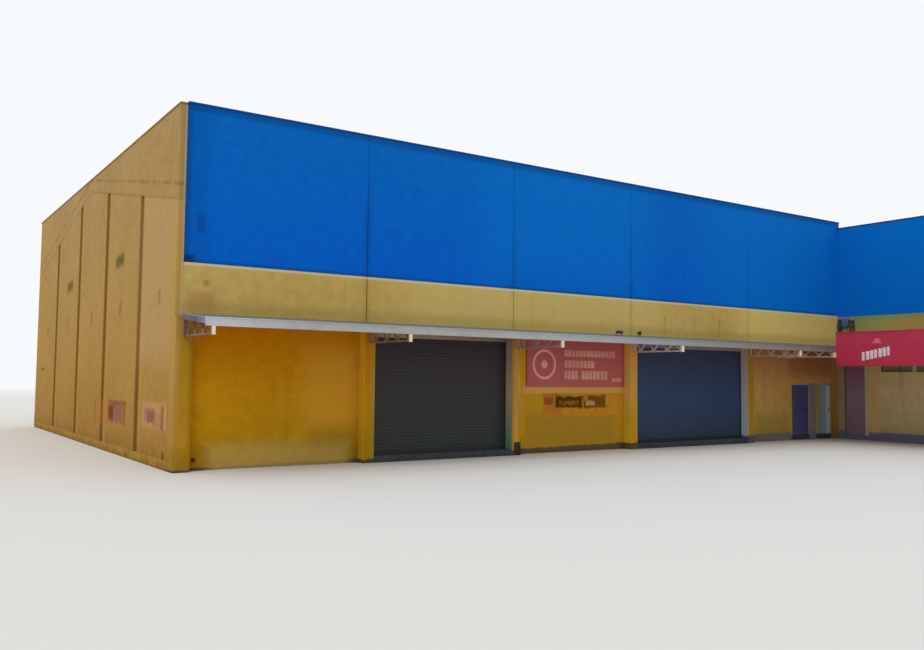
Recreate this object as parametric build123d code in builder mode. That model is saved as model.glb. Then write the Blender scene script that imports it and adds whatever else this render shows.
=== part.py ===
"""Two-colour warehouse: a walled hall with two roller shutters and a canopy, and a lower wing.

Millimetres, +Z up. The origin is the hall's front left corner at ground level.
+X runs along the front, +Y runs into the hall.
"""

import os

from build123d import *

os.makedirs("parts", exist_ok=True)

# Hall plan
front_bay_widths = [5340, 5270, 5230, 6430, 6070]
side_bay_widths = [3700, 4400, 4450, 4550, 4900]
wall_thick = 200
panel_thick = 150
front_recess = 330
panel_joint = 12
panel_end_setback = 180

# Hall heights
parapet_top = 9400
blue_bottom = 5280
band_bottom = 3900
ridge_under_parapet = 460
roof_slope = 0.19
floor_thick = 200

# Columns and beams
front_column_width = 340
front_column_depth = 500
front_column_shift = 140
corner_column_width = 430
rear_column_width = 300
rear_column_depth = 300
groove_depth = 100
lintel_height = 400
rafter_width = 300
rafter_depth = 450

# Roof
purlin_depth = 150
purlin_width = 60
purlins_per_slope = 7
purlin_edge_gap = 140
sheet_thick = 40
gutter_width = 410
gutter_height = 120
gutter_wall = 8
sheet_overhang = 30

# Parapet capping
coping_thick = 40
coping_overhang = 20

# Canopy along the front
canopy_left = 40
canopy_depth = 2250
canopy_over_band_edge = 60
canopy_fall = 230
canopy_deck_thick = 40
canopy_fascia_height = 240
canopy_fascia_thick = 60
canopy_fascia_lip = 40

# Lattice brackets under the canopy
bracket_tip_depth = 350
bracket_bar = 50
bracket_diagonal = 30
bracket_panels = 7
bracket_plate_width = 120
bracket_plate_drop = 10

# Roller shutters
curtain_thick = 30
curtain_face_gap = 10
guide_width = 60
guide_wall = 6
guide_gap = 2
guide_slot_gap = 6
curtain_end_gap = 19
bottom_bar_height = 80
bottom_bar_thick = 40
bottom_bar_end_gap = 10
housing_depth = 500
housing_height = 500

# Personnel doors in the last bay, placed from the wing's wall
door_corner_gap = 90
right_door_width = 1080
door_spacing = 480
left_door_width = 1230
door_head = 2330
frame_width = 50
frame_depth = 100
leaf_thick = 45
leaf_inset = 2
leaf_side_gap = 5
leaf_top_gap = 8
leaf_floor_gap = 10

# Door hinges
hinge_end_distance = 240
hinge_axis_out = 10
hinge_pin_radius = 5
hinge_running_gap = 0.3
knuckle_radius = 9
knuckle_height = 40
knuckle_gap = 1
hinge_plate_length = 45
hinge_plate_thick = 6

# Signboard in the middle bay
sign_left_gap = 480
sign_right_gap = 20
sign_bottom = 2170
sign_top = 3720
sign_thick = 40

# Wing
wing_width = 10000
wing_bay_length = 5300
wing_bays = 2
wing_parapet_step = 280
wing_blue_bottom = 5220
wing_roof_under_parapet = 920
wing_roof_fall = 500
joist_depth = 400
joist_width = 200
joist_count = 9

# Wing canopy and its deep fascia
wing_canopy_depth = 3690
wing_fascia_drop = 700
wing_fascia_height = 1320
wing_fascia_thick = 60
wing_arm_width = 100
wing_arm_depth = 200
wing_arm_count = 4

# Wing facade openings
service_door_edge = 280
service_door_width = 900
service_door_head = 3080
service_door_inset = 40
service_door_thick = 60
ribbon_first_edge = 1900
ribbon_end_gap = 200
ribbon_bottom = 2860
ribbon_height = 600
ribbon_glass_inset = 90
ribbon_glass_thick = 12

# Derived places
hall_length = sum(front_bay_widths)
hall_depth = sum(side_bay_widths)
front_lines = [sum(front_bay_widths[:i]) for i in range(len(front_bay_widths) + 1)]
side_lines = [sum(side_bay_widths[:i]) for i in range(len(side_bay_widths) + 1)]
frame_lines = [line + front_column_shift for line in front_lines[1:-1]]
half_column = front_column_width / 2
inner_back = hall_depth - wall_thick
wall_top = parapet_top - coping_thick
wing_parapet_top = parapet_top - wing_parapet_step
wing_wall_top = wing_parapet_top - coping_thick
wing_roof_high = wing_parapet_top - wing_roof_under_parapet
wing_roof_low = wing_roof_high - wing_roof_fall
infill_back = front_recess + wall_thick
lintel_top = band_bottom + lintel_height
ridge_y = hall_depth / 2
eaves_height = parapet_top - ridge_under_parapet - roof_slope * ridge_y
wing_left = hall_length
wing_inner_left = wing_left + wall_thick
wing_right = wing_left + wing_width
wing_inner_right = wing_right - wall_thick
wing_front = -wing_bay_length * wing_bays
wing_inner_front = wing_front + wall_thick

# Clear width between the front columns, bay by bay
bay_starts = [corner_column_width] + [line + half_column for line in frame_lines]
bay_ends = [line - half_column for line in frame_lines] + [hall_length]
front_bays = list(zip(bay_starts, bay_ends))
shutter_bays = [front_bays[1], front_bays[3]]
wall_bays = [front_bays[0], front_bays[2]]
door_bay = front_bays[4]
right_door_end = hall_length - door_corner_gap
left_door_end = right_door_end - right_door_width - door_spacing
door_openings = [
    (left_door_end - left_door_width, left_door_end),
    (right_door_end - right_door_width, right_door_end),
]


def gable(y):
    """Height of the gable line, which the roof frames follow, at depth y."""
    return eaves_height + roof_slope * min(y, hall_depth - y)


def block(x, y, z, mode=Mode.ADD):
    """Add, or cut, a box that fills three (low, high) spans in the part being built."""
    with Locations(((x[0] + x[1]) / 2, (y[0] + y[1]) / 2, (z[0] + z[1]) / 2)):
        Box(x[1] - x[0], y[1] - y[0], z[1] - z[0], mode=mode)


def prism_x(outline, x):
    """Add a (y, z) outline extruded over the span x."""
    with BuildSketch(Plane.YZ.offset(x[0])) as profile:
        with BuildLine():
            Polyline(outline, close=True)
        make_face()
    extrude(profile.sketch, amount=x[1] - x[0])


def prism_y(outline, y):
    """Add an (x, z) outline extruded over the span y."""
    with BuildSketch(Plane.XZ.offset(-y[0])) as profile:
        with BuildLine():
            Polyline(outline, close=True)
        make_face()
    extrude(profile.sketch, amount=y[0] - y[1])


def save(piece, name):
    """Label a finished piece and write it to its own file."""
    piece.part.label = name
    export_step(piece.part, f"parts/{name}.step")


# Front columns: the lower part stands out to the face, the panels cover the upper part
def front_column(x, top):
    outline = [
        (0, 0),
        (front_column_depth, 0),
        (front_column_depth, top(front_column_depth)),
        (panel_thick, top(panel_thick)),
        (panel_thick, band_bottom),
        (0, band_bottom),
    ]
    prism_x(outline, x)


def under_rafter(y):
    return gable(y) - rafter_depth


with BuildPart() as front_columns:
    front_column((0, corner_column_width), gable)
    for line in frame_lines:
        front_column((line - half_column, line + half_column), under_rafter)
save(front_columns, "front_columns")

# Lintels between the columns, behind the panels
with BuildPart() as front_lintels:
    for bay in front_bays:
        block(bay, (panel_thick, front_recess), (band_bottom, lintel_top))
save(front_lintels, "front_lintels")

# Plain infill walls of the first and middle bays
with BuildPart() as front_wall_bays:
    for bay in wall_bays:
        block(bay, (front_recess, infill_back), (0, lintel_top))
save(front_wall_bays, "front_wall_bays")

# Last bay: piers beside the doors and one wall over them
pier_edges = [door_bay[0], *door_openings[0], *door_openings[1], door_bay[1]]
with BuildPart() as door_bay_piers:
    for pier in zip(pier_edges[0::2], pier_edges[1::2]):
        block(pier, (front_recess, infill_back), (0, door_head))
save(door_bay_piers, "door_bay_piers")

with BuildPart() as door_bay_wall_over:
    block(door_bay, (front_recess, infill_back), (door_head, lintel_top))
save(door_bay_wall_over, "door_bay_wall_over")

# Precast face panels of the front, one pair a bay, with open joints between bays
panel_starts = [panel_end_setback] + [line + panel_joint / 2 for line in front_lines[1:-1]]
panel_ends = [line - panel_joint / 2 for line in front_lines[1:-1]] + [hall_length]
with BuildPart() as front_band_panels:
    for span in zip(panel_starts, panel_ends):
        block(span, (0, panel_thick), (band_bottom, blue_bottom))
save(front_band_panels, "front_band_panels")

with BuildPart() as front_blue_panels:
    for span in zip(panel_starts, panel_ends):
        block(span, (0, panel_thick), (blue_bottom, wall_top))
save(front_blue_panels, "front_blue_panels")

# Left side wall: infill between set back columns, under the gable line
half_groove = rear_column_width / 2
left_starts = [front_column_depth] + [line + half_groove for line in side_lines[1:-1]]
left_ends = [line - half_groove for line in side_lines[1:-1]]
left_ends.append(hall_depth - front_column_depth)
with BuildPart() as left_wall_bays:
    for low, high in zip(left_starts, left_ends):
        top = [(high, gable(high)), (low, gable(low))]
        if low < ridge_y < high:
            top.insert(1, (ridge_y, gable(ridge_y)))
        prism_x([(low, 0), (high, 0), *top], (0, wall_thick))
save(left_wall_bays, "left_wall_bays")

with BuildPart() as left_wall_columns:
    for line in side_lines[1:-1]:
        low = line - half_groove
        high = line + half_groove
        outline = [(low, 0), (high, 0), (high, gable(high)), (low, gable(low))]
        prism_x(outline, (groove_depth, groove_depth + rear_column_depth))
save(left_wall_columns, "left_wall_columns")

with BuildPart() as left_parapet:
    outline = [
        (panel_thick, gable(panel_thick)),
        (ridge_y, gable(ridge_y)),
        (inner_back, gable(inner_back)),
        (inner_back, wall_top),
        (panel_thick, wall_top),
    ]
    prism_x(outline, (0, wall_thick))
save(left_parapet, "left_parapet")

# Back wall: the same infill and set back columns, under a plain parapet
back_starts = [corner_column_width] + [line + half_groove for line in frame_lines]
back_ends = [line - half_groove for line in frame_lines] + [hall_length]
with BuildPart() as back_wall_bays:
    for bay in zip(back_starts, back_ends):
        block(bay, (inner_back, hall_depth), (0, eaves_height))
save(back_wall_bays, "back_wall_bays")

column_outer = hall_depth - groove_depth
column_inner = column_outer - rear_column_depth
corner_inner = hall_depth - front_column_depth
with BuildPart() as back_wall_columns:
    corner = [
        (corner_inner, 0),
        (hall_depth, 0),
        (hall_depth, eaves_height),
        (inner_back, eaves_height),
        (inner_back, gable(inner_back)),
        (corner_inner, gable(corner_inner)),
    ]
    prism_x(corner, (0, corner_column_width))
    column = [
        (column_inner, 0),
        (column_outer, 0),
        (column_outer, eaves_height),
        (inner_back, eaves_height),
        (inner_back, under_rafter(inner_back)),
        (column_inner, under_rafter(column_inner)),
    ]
    for line in frame_lines:
        prism_x(column, (line - half_groove, line + half_groove))
save(back_wall_columns, "back_wall_columns")

with BuildPart() as back_parapet:
    block((0, hall_length), (inner_back, hall_depth), (eaves_height, wall_top))
save(back_parapet, "back_parapet")

# Wall between the hall and the wing
with BuildPart() as right_wall:
    block((hall_length, wing_inner_left), (0, hall_depth), (0, wall_top))
save(right_wall, "right_wall")

# Hall floor, cut round the columns that stand inside the wall line
with BuildPart() as hall_floor:
    slab = (0, floor_thick)
    block((wall_thick, hall_length), (infill_back, inner_back), slab)
    for line in side_lines[1:-1]:
        foot = (groove_depth, groove_depth + rear_column_depth)
        block(foot, (line - half_groove, line + half_groove), slab, Mode.SUBTRACT)
    for line in frame_lines:
        foot = (line - half_groove, line + half_groove)
        block(foot, (column_inner, column_outer), slab, Mode.SUBTRACT)
    block((0, corner_column_width), (corner_inner, hall_depth), slab, Mode.SUBTRACT)
save(hall_floor, "hall_floor")

# Concrete thresholds in the shutter openings and the doorways
with BuildPart() as door_thresholds:
    for bay in shutter_bays:
        block(bay, (0, infill_back), (0, floor_thick))
    for opening in door_openings:
        block(opening, (front_recess, infill_back), (0, floor_thick))
save(door_thresholds, "door_thresholds")

# Roof frames, one on each pair of columns
with BuildPart() as roof_rafters:
    outline = [
        (panel_thick, under_rafter(panel_thick)),
        (ridge_y, under_rafter(ridge_y)),
        (inner_back, under_rafter(inner_back)),
        (inner_back, gable(inner_back)),
        (ridge_y, gable(ridge_y)),
        (panel_thick, gable(panel_thick)),
    ]
    for line in frame_lines:
        prism_x(outline, (line - rafter_width / 2, line + rafter_width / 2))
save(roof_rafters, "roof_rafters")

# Gutters between the parapets and the roof sheets
front_gutter_end = panel_thick + gutter_width
back_gutter_start = inner_back - gutter_width


def gutter(y):
    floor = gable(front_gutter_end)
    if y[0] > ridge_y:
        floor = gable(back_gutter_start)
    outline = [
        (y[0], floor),
        (y[1], floor),
        (y[1], floor + gutter_height),
        (y[1] - gutter_wall, floor + gutter_height),
        (y[1] - gutter_wall, floor + gutter_wall),
        (y[0] + gutter_wall, floor + gutter_wall),
        (y[0] + gutter_wall, floor + gutter_height),
        (y[0], floor + gutter_height),
    ]
    prism_x(outline, (wall_thick, hall_length))


with BuildPart() as roof_gutters:
    gutter((panel_thick, front_gutter_end))
    gutter((back_gutter_start, inner_back))
save(roof_gutters, "roof_gutters")


# Purlins and sheets, each a strip between two depths above the gable line
def roof_strip(y, low, high):
    outline = [
        (y[0], gable(y[0]) + low),
        (y[1], gable(y[1]) + low),
        (y[1], gable(y[1]) + high),
        (y[0], gable(y[0]) + high),
    ]
    prism_x(outline, (wall_thick, hall_length))


first_purlin = front_gutter_end + purlin_edge_gap
last_purlin = ridge_y - purlin_edge_gap
back_first = ridge_y + purlin_edge_gap
back_last = back_gutter_start - purlin_edge_gap


def purlin_row(first, last):
    step = (last - first) / (purlins_per_slope - 1)
    for i in range(purlins_per_slope):
        middle = first + i * step
        strip = (middle - purlin_width / 2, middle + purlin_width / 2)
        roof_strip(strip, 0, purlin_depth)


with BuildPart() as roof_purlins:
    purlin_row(first_purlin, last_purlin)
    purlin_row(back_first, back_last)
save(roof_purlins, "roof_purlins")

sheet_top = purlin_depth + sheet_thick
with BuildPart() as roof_sheets_front:
    roof_strip((front_gutter_end - sheet_overhang, ridge_y), purlin_depth, sheet_top)
save(roof_sheets_front, "roof_sheets_front")

with BuildPart() as roof_sheets_back:
    roof_strip((ridge_y, back_gutter_start + sheet_overhang), purlin_depth, sheet_top)
save(roof_sheets_back, "roof_sheets_back")

# Metal capping on the parapets of the hall and of the wing
with BuildPart() as parapet_copings:
    hall_cap = (wall_top, parapet_top)
    cap_front = -coping_overhang
    cap_back = hall_depth + coping_overhang
    cap_inner_back = inner_back - coping_overhang
    block((-coping_overhang, wing_inner_left + coping_overhang), (cap_front, cap_back), hall_cap)
    well = (wall_thick + coping_overhang, hall_length - coping_overhang)
    block(well, (panel_thick + coping_overhang, cap_inner_back), hall_cap, Mode.SUBTRACT)
    # The face panels stop short of the side wall, and the capping steps back with them
    step_x = (-coping_overhang, panel_end_setback - coping_overhang)
    step_y = (cap_front, panel_thick - coping_overhang)
    block(step_x, step_y, hall_cap, Mode.SUBTRACT)
    wing_cap = (wing_wall_top, wing_parapet_top)
    wing_cap_left = wing_left - coping_overhang
    wing_cap_front = wing_front - coping_overhang
    block((wing_cap_left, wing_right + coping_overhang), (wing_cap_front, cap_back), wing_cap)
    well = (wing_inner_left + coping_overhang, wing_inner_right - coping_overhang)
    block(well, (wing_inner_front + coping_overhang, cap_inner_back), wing_cap, Mode.SUBTRACT)
    # The hall's own wall stands taller here, so the wing's capping stops against it
    beside_hall = (wing_cap_left, wing_inner_left + coping_overhang)
    block(beside_hall, (0, cap_inner_back), wing_cap, Mode.SUBTRACT)
    block((wing_cap_left, wing_inner_left), (0, cap_back), wing_cap, Mode.SUBTRACT)
save(parapet_copings, "parapet_copings")

# Canopy deck along the whole front, and the pale fascia that ends at the wing's canopy
canopy_wall_height = band_bottom + canopy_over_band_edge
canopy_front_height = canopy_wall_height - canopy_fall
canopy_fascia_top = canopy_front_height + canopy_deck_thick + canopy_fascia_lip
canopy_fascia_bottom = canopy_fascia_top - canopy_fascia_height
deck_front = -(canopy_depth - canopy_fascia_thick)
wing_fascia_outer = wing_left - wing_canopy_depth
wing_fascia_inner = wing_fascia_outer + wing_fascia_thick
with BuildPart() as canopy_deck:
    outline = [
        (0, canopy_wall_height),
        (deck_front, canopy_front_height),
        (deck_front, canopy_front_height + canopy_deck_thick),
        (0, canopy_wall_height + canopy_deck_thick),
    ]
    prism_x(outline, (canopy_left, wing_left))
save(canopy_deck, "canopy_deck")

with BuildPart() as canopy_fascia:
    block(
        (canopy_left, wing_fascia_inner),
        (-canopy_depth, deck_front),
        (canopy_fascia_bottom, canopy_fascia_top),
    )
save(canopy_fascia, "canopy_fascia")

# Lattice brackets: two chords, end posts and a zigzag of lighter bars in one plane
bracket_bottom = canopy_front_height - bracket_tip_depth


def deck_under(y):
    return canopy_wall_height + (canopy_wall_height - canopy_front_height) * y / -deck_front


def bar_between(start, end, x):
    """Add a diagonal bar between two (y, z) points."""
    direction = Vector(end[0] - start[0], end[1] - start[1]).normalized()
    side = Vector(-direction.Y, direction.X) * (bracket_diagonal / 2)
    outline = [
        (start[0] + side.X, start[1] + side.Y),
        (end[0] + side.X, end[1] + side.Y),
        (end[0] - side.X, end[1] - side.Y),
        (start[0] - side.X, start[1] - side.Y),
    ]
    prism_x(outline, x)


def bracket(center, wall_y):
    x = (center - bracket_bar / 2, center + bracket_bar / 2)
    chord_bottom = (bracket_bottom, bracket_bottom + bracket_bar)
    block(x, (deck_front, wall_y), chord_bottom)
    top_chord = [
        (0, deck_under(0)),
        (deck_front, deck_under(deck_front)),
        (deck_front, deck_under(deck_front) - bracket_bar),
        (0, deck_under(0) - bracket_bar),
    ]
    prism_x(top_chord, x)
    block(x, (deck_front, deck_front + bracket_bar), (bracket_bottom, canopy_front_height))
    block(x, (-bracket_bar, 0), (bracket_bottom, deck_under(0) - bracket_bar / 2))
    first = -bracket_bar / 2
    step = (deck_front + bracket_bar / 2 - first) / bracket_panels
    low = bracket_bottom + bracket_bar / 2
    diagonal_x = (center - bracket_diagonal / 2, center + bracket_diagonal / 2)
    for i in range(bracket_panels):
        near = first + i * step
        far = near + step
        high = deck_under(near) - bracket_bar / 2
        next_high = deck_under(far) - bracket_bar / 2
        if i % 2:
            bar_between((near, low), (far, next_high), diagonal_x)
        else:
            bar_between((near, high), (far, low), diagonal_x)
    plate = (center - bracket_plate_width / 2, center + bracket_plate_width / 2)
    plate_z = (bracket_bottom - bracket_plate_drop, canopy_fascia_bottom)
    block(plate, (-canopy_depth, deck_front), plate_z)


end_bracket_line = wing_fascia_outer - bracket_plate_width / 2
with BuildPart() as canopy_brackets:
    for line in [corner_column_width / 2, *frame_lines]:
        bracket(line, 0)
    bracket(end_bracket_line, front_recess)
save(canopy_brackets, "canopy_brackets")

# Roller shutters: curtain, bottom bar, guides and the housing behind the lintel
curtain_y = (front_recess + curtain_face_gap, front_recess + curtain_face_gap + curtain_thick)
curtain_bottom = floor_thick + bottom_bar_height
with BuildPart() as roller_curtains:
    for low, high in shutter_bays:
        span = (low + curtain_end_gap + guide_wall, high - curtain_end_gap - guide_wall)
        block(span, curtain_y, (curtain_bottom, lintel_top))
save(roller_curtains, "roller_curtains")

bar_middle = sum(curtain_y) / 2
with BuildPart() as roller_bottom_bars:
    for low, high in shutter_bays:
        inset = guide_width + bottom_bar_end_gap
        block(
            (low + inset, high - inset),
            (bar_middle - bottom_bar_thick / 2, bar_middle + bottom_bar_thick / 2),
            (floor_thick, curtain_bottom),
        )
save(roller_bottom_bars, "roller_bottom_bars")

slot_y = (curtain_y[0] - guide_gap, curtain_y[1] + guide_slot_gap)
guide_y = (slot_y[0] - guide_wall, slot_y[1] + guide_wall)


def guide(jamb, side):
    """Add a channel on the column face at x = jamb, open towards side."""
    web = sorted((jamb, jamb + side * guide_wall))
    whole = sorted((jamb, jamb + side * guide_width))
    height = (floor_thick, lintel_top)
    block(web, guide_y, height)
    block(whole, (guide_y[0], slot_y[0]), height)
    block(whole, (slot_y[1], guide_y[1]), height)


with BuildPart() as roller_guides:
    for low, high in shutter_bays:
        guide(low, 1)
        guide(high, -1)
save(roller_guides, "roller_guides")

with BuildPart() as roller_housings:
    for bay in shutter_bays:
        block(
            bay,
            (front_recess, front_recess + housing_depth),
            (lintel_top, lintel_top + housing_height),
        )
save(roller_housings, "roller_housings")

# Personnel doors: frames in the doorways, leaves that swing out on the left jamb
hinge_y = front_recess - hinge_axis_out
frame_y = (front_recess, front_recess + frame_depth)
leaf_z = (floor_thick + leaf_floor_gap, door_head - frame_width - leaf_top_gap)
lowest_hinge = leaf_z[0] + hinge_end_distance
highest_hinge = leaf_z[1] - hinge_end_distance
hinge_heights = [lowest_hinge, (lowest_hinge + highest_hinge) / 2, highest_hinge]
knuckle_reach = knuckle_height + knuckle_gap


def hinge_x(opening):
    return opening[0] + frame_width + leaf_side_gap / 2


def upright(center, radius, z):
    """Add a vertical cylinder at an (x, y) centre over the span z."""
    with Locations((*center, (z[0] + z[1]) / 2)):
        Cylinder(radius, z[1] - z[0])


with BuildPart() as door_jambs:
    for opening in door_openings:
        height = (floor_thick, door_head)
        block((opening[0], opening[0] + frame_width), frame_y, height)
        block((opening[1] - frame_width, opening[1]), frame_y, height)
        axis = (hinge_x(opening), hinge_y)
        plate_x = (axis[0] - hinge_plate_length, axis[0])
        plate_y = (front_recess - hinge_plate_thick, front_recess)
        for middle in hinge_heights:
            for side in (-1, 1):
                near = middle + side * (knuckle_height / 2 + knuckle_gap)
                far = near + side * knuckle_height
                span = sorted((near, far))
                upright(axis, knuckle_radius, span)
                block(plate_x, plate_y, span)
            pin_end = knuckle_height / 2 + knuckle_reach
            upright(axis, hinge_pin_radius, (middle - pin_end, middle + pin_end))
save(door_jambs, "door_jambs")

with BuildPart() as door_heads:
    for opening in door_openings:
        span = (opening[0] + frame_width, opening[1] - frame_width)
        block(span, frame_y, (door_head - frame_width, door_head))
save(door_heads, "door_heads")


def door_leaf(opening):
    """A leaf with its own knuckles, bored to turn on the pins of the frame."""
    face = front_recess + leaf_inset
    axis = (hinge_x(opening), hinge_y)
    bore = hinge_pin_radius + hinge_running_gap
    with BuildPart() as leaf:
        block(
            (opening[0] + frame_width + leaf_side_gap, opening[1] - frame_width - leaf_side_gap),
            (face, face + leaf_thick),
            leaf_z,
        )
        for middle in hinge_heights:
            span = (middle - knuckle_height / 2, middle + knuckle_height / 2)
            upright(axis, knuckle_radius, span)
            block((axis[0], axis[0] + hinge_plate_length), (face - hinge_plate_thick, face), span)
        for middle in hinge_heights:
            with Locations((*axis, middle)):
                Cylinder(bore, knuckle_height, mode=Mode.SUBTRACT)
    return leaf


save(door_leaf(door_openings[0]), "door_leaf_left")
save(door_leaf(door_openings[1]), "door_leaf_right")

# Signboard on the middle bay's wall
with BuildPart() as sign_board:
    block(
        (wall_bays[1][0] + sign_left_gap, wall_bays[1][1] - sign_right_gap),
        (front_recess - sign_thick, front_recess),
        (sign_bottom, sign_top),
    )
save(sign_board, "sign_board")

# Wing floor
with BuildPart() as wing_floor:
    block(
        (wing_inner_left, wing_inner_right),
        (wing_inner_front, inner_back),
        (0, floor_thick),
    )
save(wing_floor, "wing_floor")

# Wing facade: lower wall with the service door and the ribbon windows cut through it
service_door_span = (-service_door_edge - service_door_width, -service_door_edge)
ribbon_height_span = (ribbon_bottom, ribbon_bottom + ribbon_height)
ribbon_spans = []
for i in range(wing_bays):
    bay_start = -i * wing_bay_length
    bay_end = bay_start - wing_bay_length
    ribbon_spans.append((bay_end + ribbon_end_gap, bay_start - ribbon_first_edge))
facade_x = (wing_left, wing_inner_left)
with BuildPart() as wing_facade_wall:
    block(facade_x, (wing_front, 0), (0, wing_blue_bottom))
    door_height = (floor_thick, service_door_head)
    block(facade_x, service_door_span, door_height, Mode.SUBTRACT)
    for span in ribbon_spans:
        block(facade_x, span, ribbon_height_span, Mode.SUBTRACT)
save(wing_facade_wall, "wing_facade_wall")

with BuildPart() as wing_service_door:
    outer = wing_left + service_door_inset
    block(
        (outer, outer + service_door_thick),
        service_door_span,
        (floor_thick, service_door_head),
    )
save(wing_service_door, "wing_service_door")

with BuildPart() as wing_ribbon_windows:
    outer = wing_left + ribbon_glass_inset
    for span in ribbon_spans:
        block((outer, outer + ribbon_glass_thick), span, ribbon_height_span)
save(wing_ribbon_windows, "wing_ribbon_windows")

# Wing end wall, side wall and back wall
with BuildPart() as wing_end_wall:
    block((wing_inner_left, wing_right), (wing_front, wing_inner_front), (0, wing_blue_bottom))
save(wing_end_wall, "wing_end_wall")

wing_blue = (wing_blue_bottom, wing_wall_top)
with BuildPart() as wing_blue_panels:
    for i in range(wing_bays):
        near = 0 if i == 0 else -i * wing_bay_length - panel_joint / 2
        last = i == wing_bays - 1
        far = wing_front if last else -(i + 1) * wing_bay_length + panel_joint / 2
        block(facade_x, (far, near), wing_blue)
    end_span = (wing_inner_left + panel_joint, wing_right)
    block(end_span, (wing_front, wing_inner_front), wing_blue)
save(wing_blue_panels, "wing_blue_panels")

with BuildPart() as wing_side_wall:
    block((wing_inner_right, wing_right), (wing_inner_front, hall_depth), (0, wing_wall_top))
save(wing_side_wall, "wing_side_wall")

with BuildPart() as wing_back_wall:
    block((wing_inner_left, wing_inner_right), (inner_back, hall_depth), (0, wing_wall_top))
save(wing_back_wall, "wing_back_wall")

# Wing roof: one fall away from the hall, on joists between the walls
roof_x = (wing_inner_left, wing_inner_right)
with BuildPart() as wing_roof_sheets:
    outline = [
        (roof_x[0], wing_roof_high),
        (roof_x[1], wing_roof_low),
        (roof_x[1], wing_roof_low + sheet_thick),
        (roof_x[0], wing_roof_high + sheet_thick),
    ]
    prism_y(outline, (wing_inner_front, inner_back))
save(wing_roof_sheets, "wing_roof_sheets")

joist_step = (inner_back - wing_inner_front) / (joist_count + 1)
with BuildPart() as wing_roof_joists:
    outline = [
        (roof_x[0], wing_roof_high - joist_depth),
        (roof_x[1], wing_roof_low - joist_depth),
        (roof_x[1], wing_roof_low),
        (roof_x[0], wing_roof_high),
    ]
    for i in range(joist_count):
        middle = wing_inner_front + (i + 1) * joist_step
        prism_y(outline, (middle - joist_width / 2, middle + joist_width / 2))
save(wing_roof_joists, "wing_roof_joists")

# Wing canopy: flat deck, arms under it and the deep fascia on its two open sides
arm_inner_front = wing_front + wing_fascia_thick
with BuildPart() as wing_canopy_deck:
    block(
        (wing_fascia_inner, wing_left),
        (arm_inner_front, deck_front),
        (canopy_front_height, canopy_front_height + canopy_deck_thick),
    )
save(wing_canopy_deck, "wing_canopy_deck")

wing_fascia_bottom = canopy_front_height - wing_fascia_drop
fascia_z = (wing_fascia_bottom, wing_fascia_bottom + wing_fascia_height)
with BuildPart() as wing_fascia:
    block((wing_fascia_outer, wing_fascia_inner), (wing_front, -canopy_depth), fascia_z)
    block((wing_fascia_inner, wing_left), (wing_front, arm_inner_front), fascia_z)
save(wing_fascia, "wing_fascia")

arm_first = -canopy_depth - wing_arm_width
arm_step = (arm_inner_front - arm_first) / (wing_arm_count - 1)
with BuildPart() as wing_canopy_arms:
    for i in range(wing_arm_count):
        low = arm_first + i * arm_step
        block(
            (wing_fascia_inner, wing_left),
            (low, low + wing_arm_width),
            (canopy_front_height - wing_arm_depth, canopy_front_height),
        )
save(wing_canopy_arms, "wing_canopy_arms")
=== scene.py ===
"""Looks of the two-colour warehouse: finishes for its walls, sheets and metalwork, and its small fittings.

Metres, +Z up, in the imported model's frame: +X along the front, +Y into the hall.
"""

import math

import bmesh
import bpy
from mathutils import Matrix, Vector


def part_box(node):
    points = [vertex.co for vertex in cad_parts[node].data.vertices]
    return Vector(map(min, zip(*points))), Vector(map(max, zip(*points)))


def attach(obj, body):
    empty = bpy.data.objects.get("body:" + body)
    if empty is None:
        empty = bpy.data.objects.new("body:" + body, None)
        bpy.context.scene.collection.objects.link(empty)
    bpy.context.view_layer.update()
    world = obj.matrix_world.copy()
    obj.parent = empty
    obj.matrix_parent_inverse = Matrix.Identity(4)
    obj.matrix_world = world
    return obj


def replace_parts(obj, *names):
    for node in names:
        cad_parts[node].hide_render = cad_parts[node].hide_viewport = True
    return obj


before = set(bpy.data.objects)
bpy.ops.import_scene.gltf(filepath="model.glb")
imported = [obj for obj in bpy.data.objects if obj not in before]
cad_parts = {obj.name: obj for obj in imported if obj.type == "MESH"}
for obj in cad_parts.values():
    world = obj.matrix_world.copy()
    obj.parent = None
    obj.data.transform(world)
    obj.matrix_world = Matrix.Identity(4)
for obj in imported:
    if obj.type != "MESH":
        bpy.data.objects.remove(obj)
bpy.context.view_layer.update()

# Camera, fitted to the photograph's level and upright lines; angles in degrees, lens in mm
camera_place = (-6.2444, -21.9048, 2.4383)
camera_yaw, camera_pitch, camera_roll = 34.184, 3.476, 0.610
camera_lens, sensor_width, camera_reach = 33.784, 36.0, 2000

# Front bays: joints between the face panels, columns, and the shutters between columns
panel_joints = (5.34, 10.61, 15.84, 22.27)
column_shift, half_column = 0.14, 0.17
column_centres = [line + column_shift for line in panel_joints]
shutter_bays = [(column_centres[i] + half_column, column_centres[i + 1] - half_column) for i in (0, 2)]

# Left side wall
ridge_y, eaves_height, roof_slope = 11.0, 6.85, 0.19
groove_lines = (3.7, 8.1, 12.55, 17.1)
plinth_height, plinth_stand, plinth_depth = 0.26, 0.012, 0.07

# Roller shutters
slat_pitch, slat_end_gap, slat_edge_round = 0.1, 0.025, 0.005
pelmet_drop, pelmet_depth, pelmet_gap, pelmet_skin = 0.31, 0.035, 0.012, 0.006

# Roof sheets
wave_pitch, wave_height, wave_steps, wave_clear = 0.177, 0.025, 8, 0.012
sheet_skin, sheet_lap, lap_lift = 0.006, 0.12, 0.01
roof_courses, roof_plate, roof_sheet_width = 3, 0.04, 1.062
ridge_reach, ridge_skin, ridge_round = 0.26, 0.012, 0.06

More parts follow.
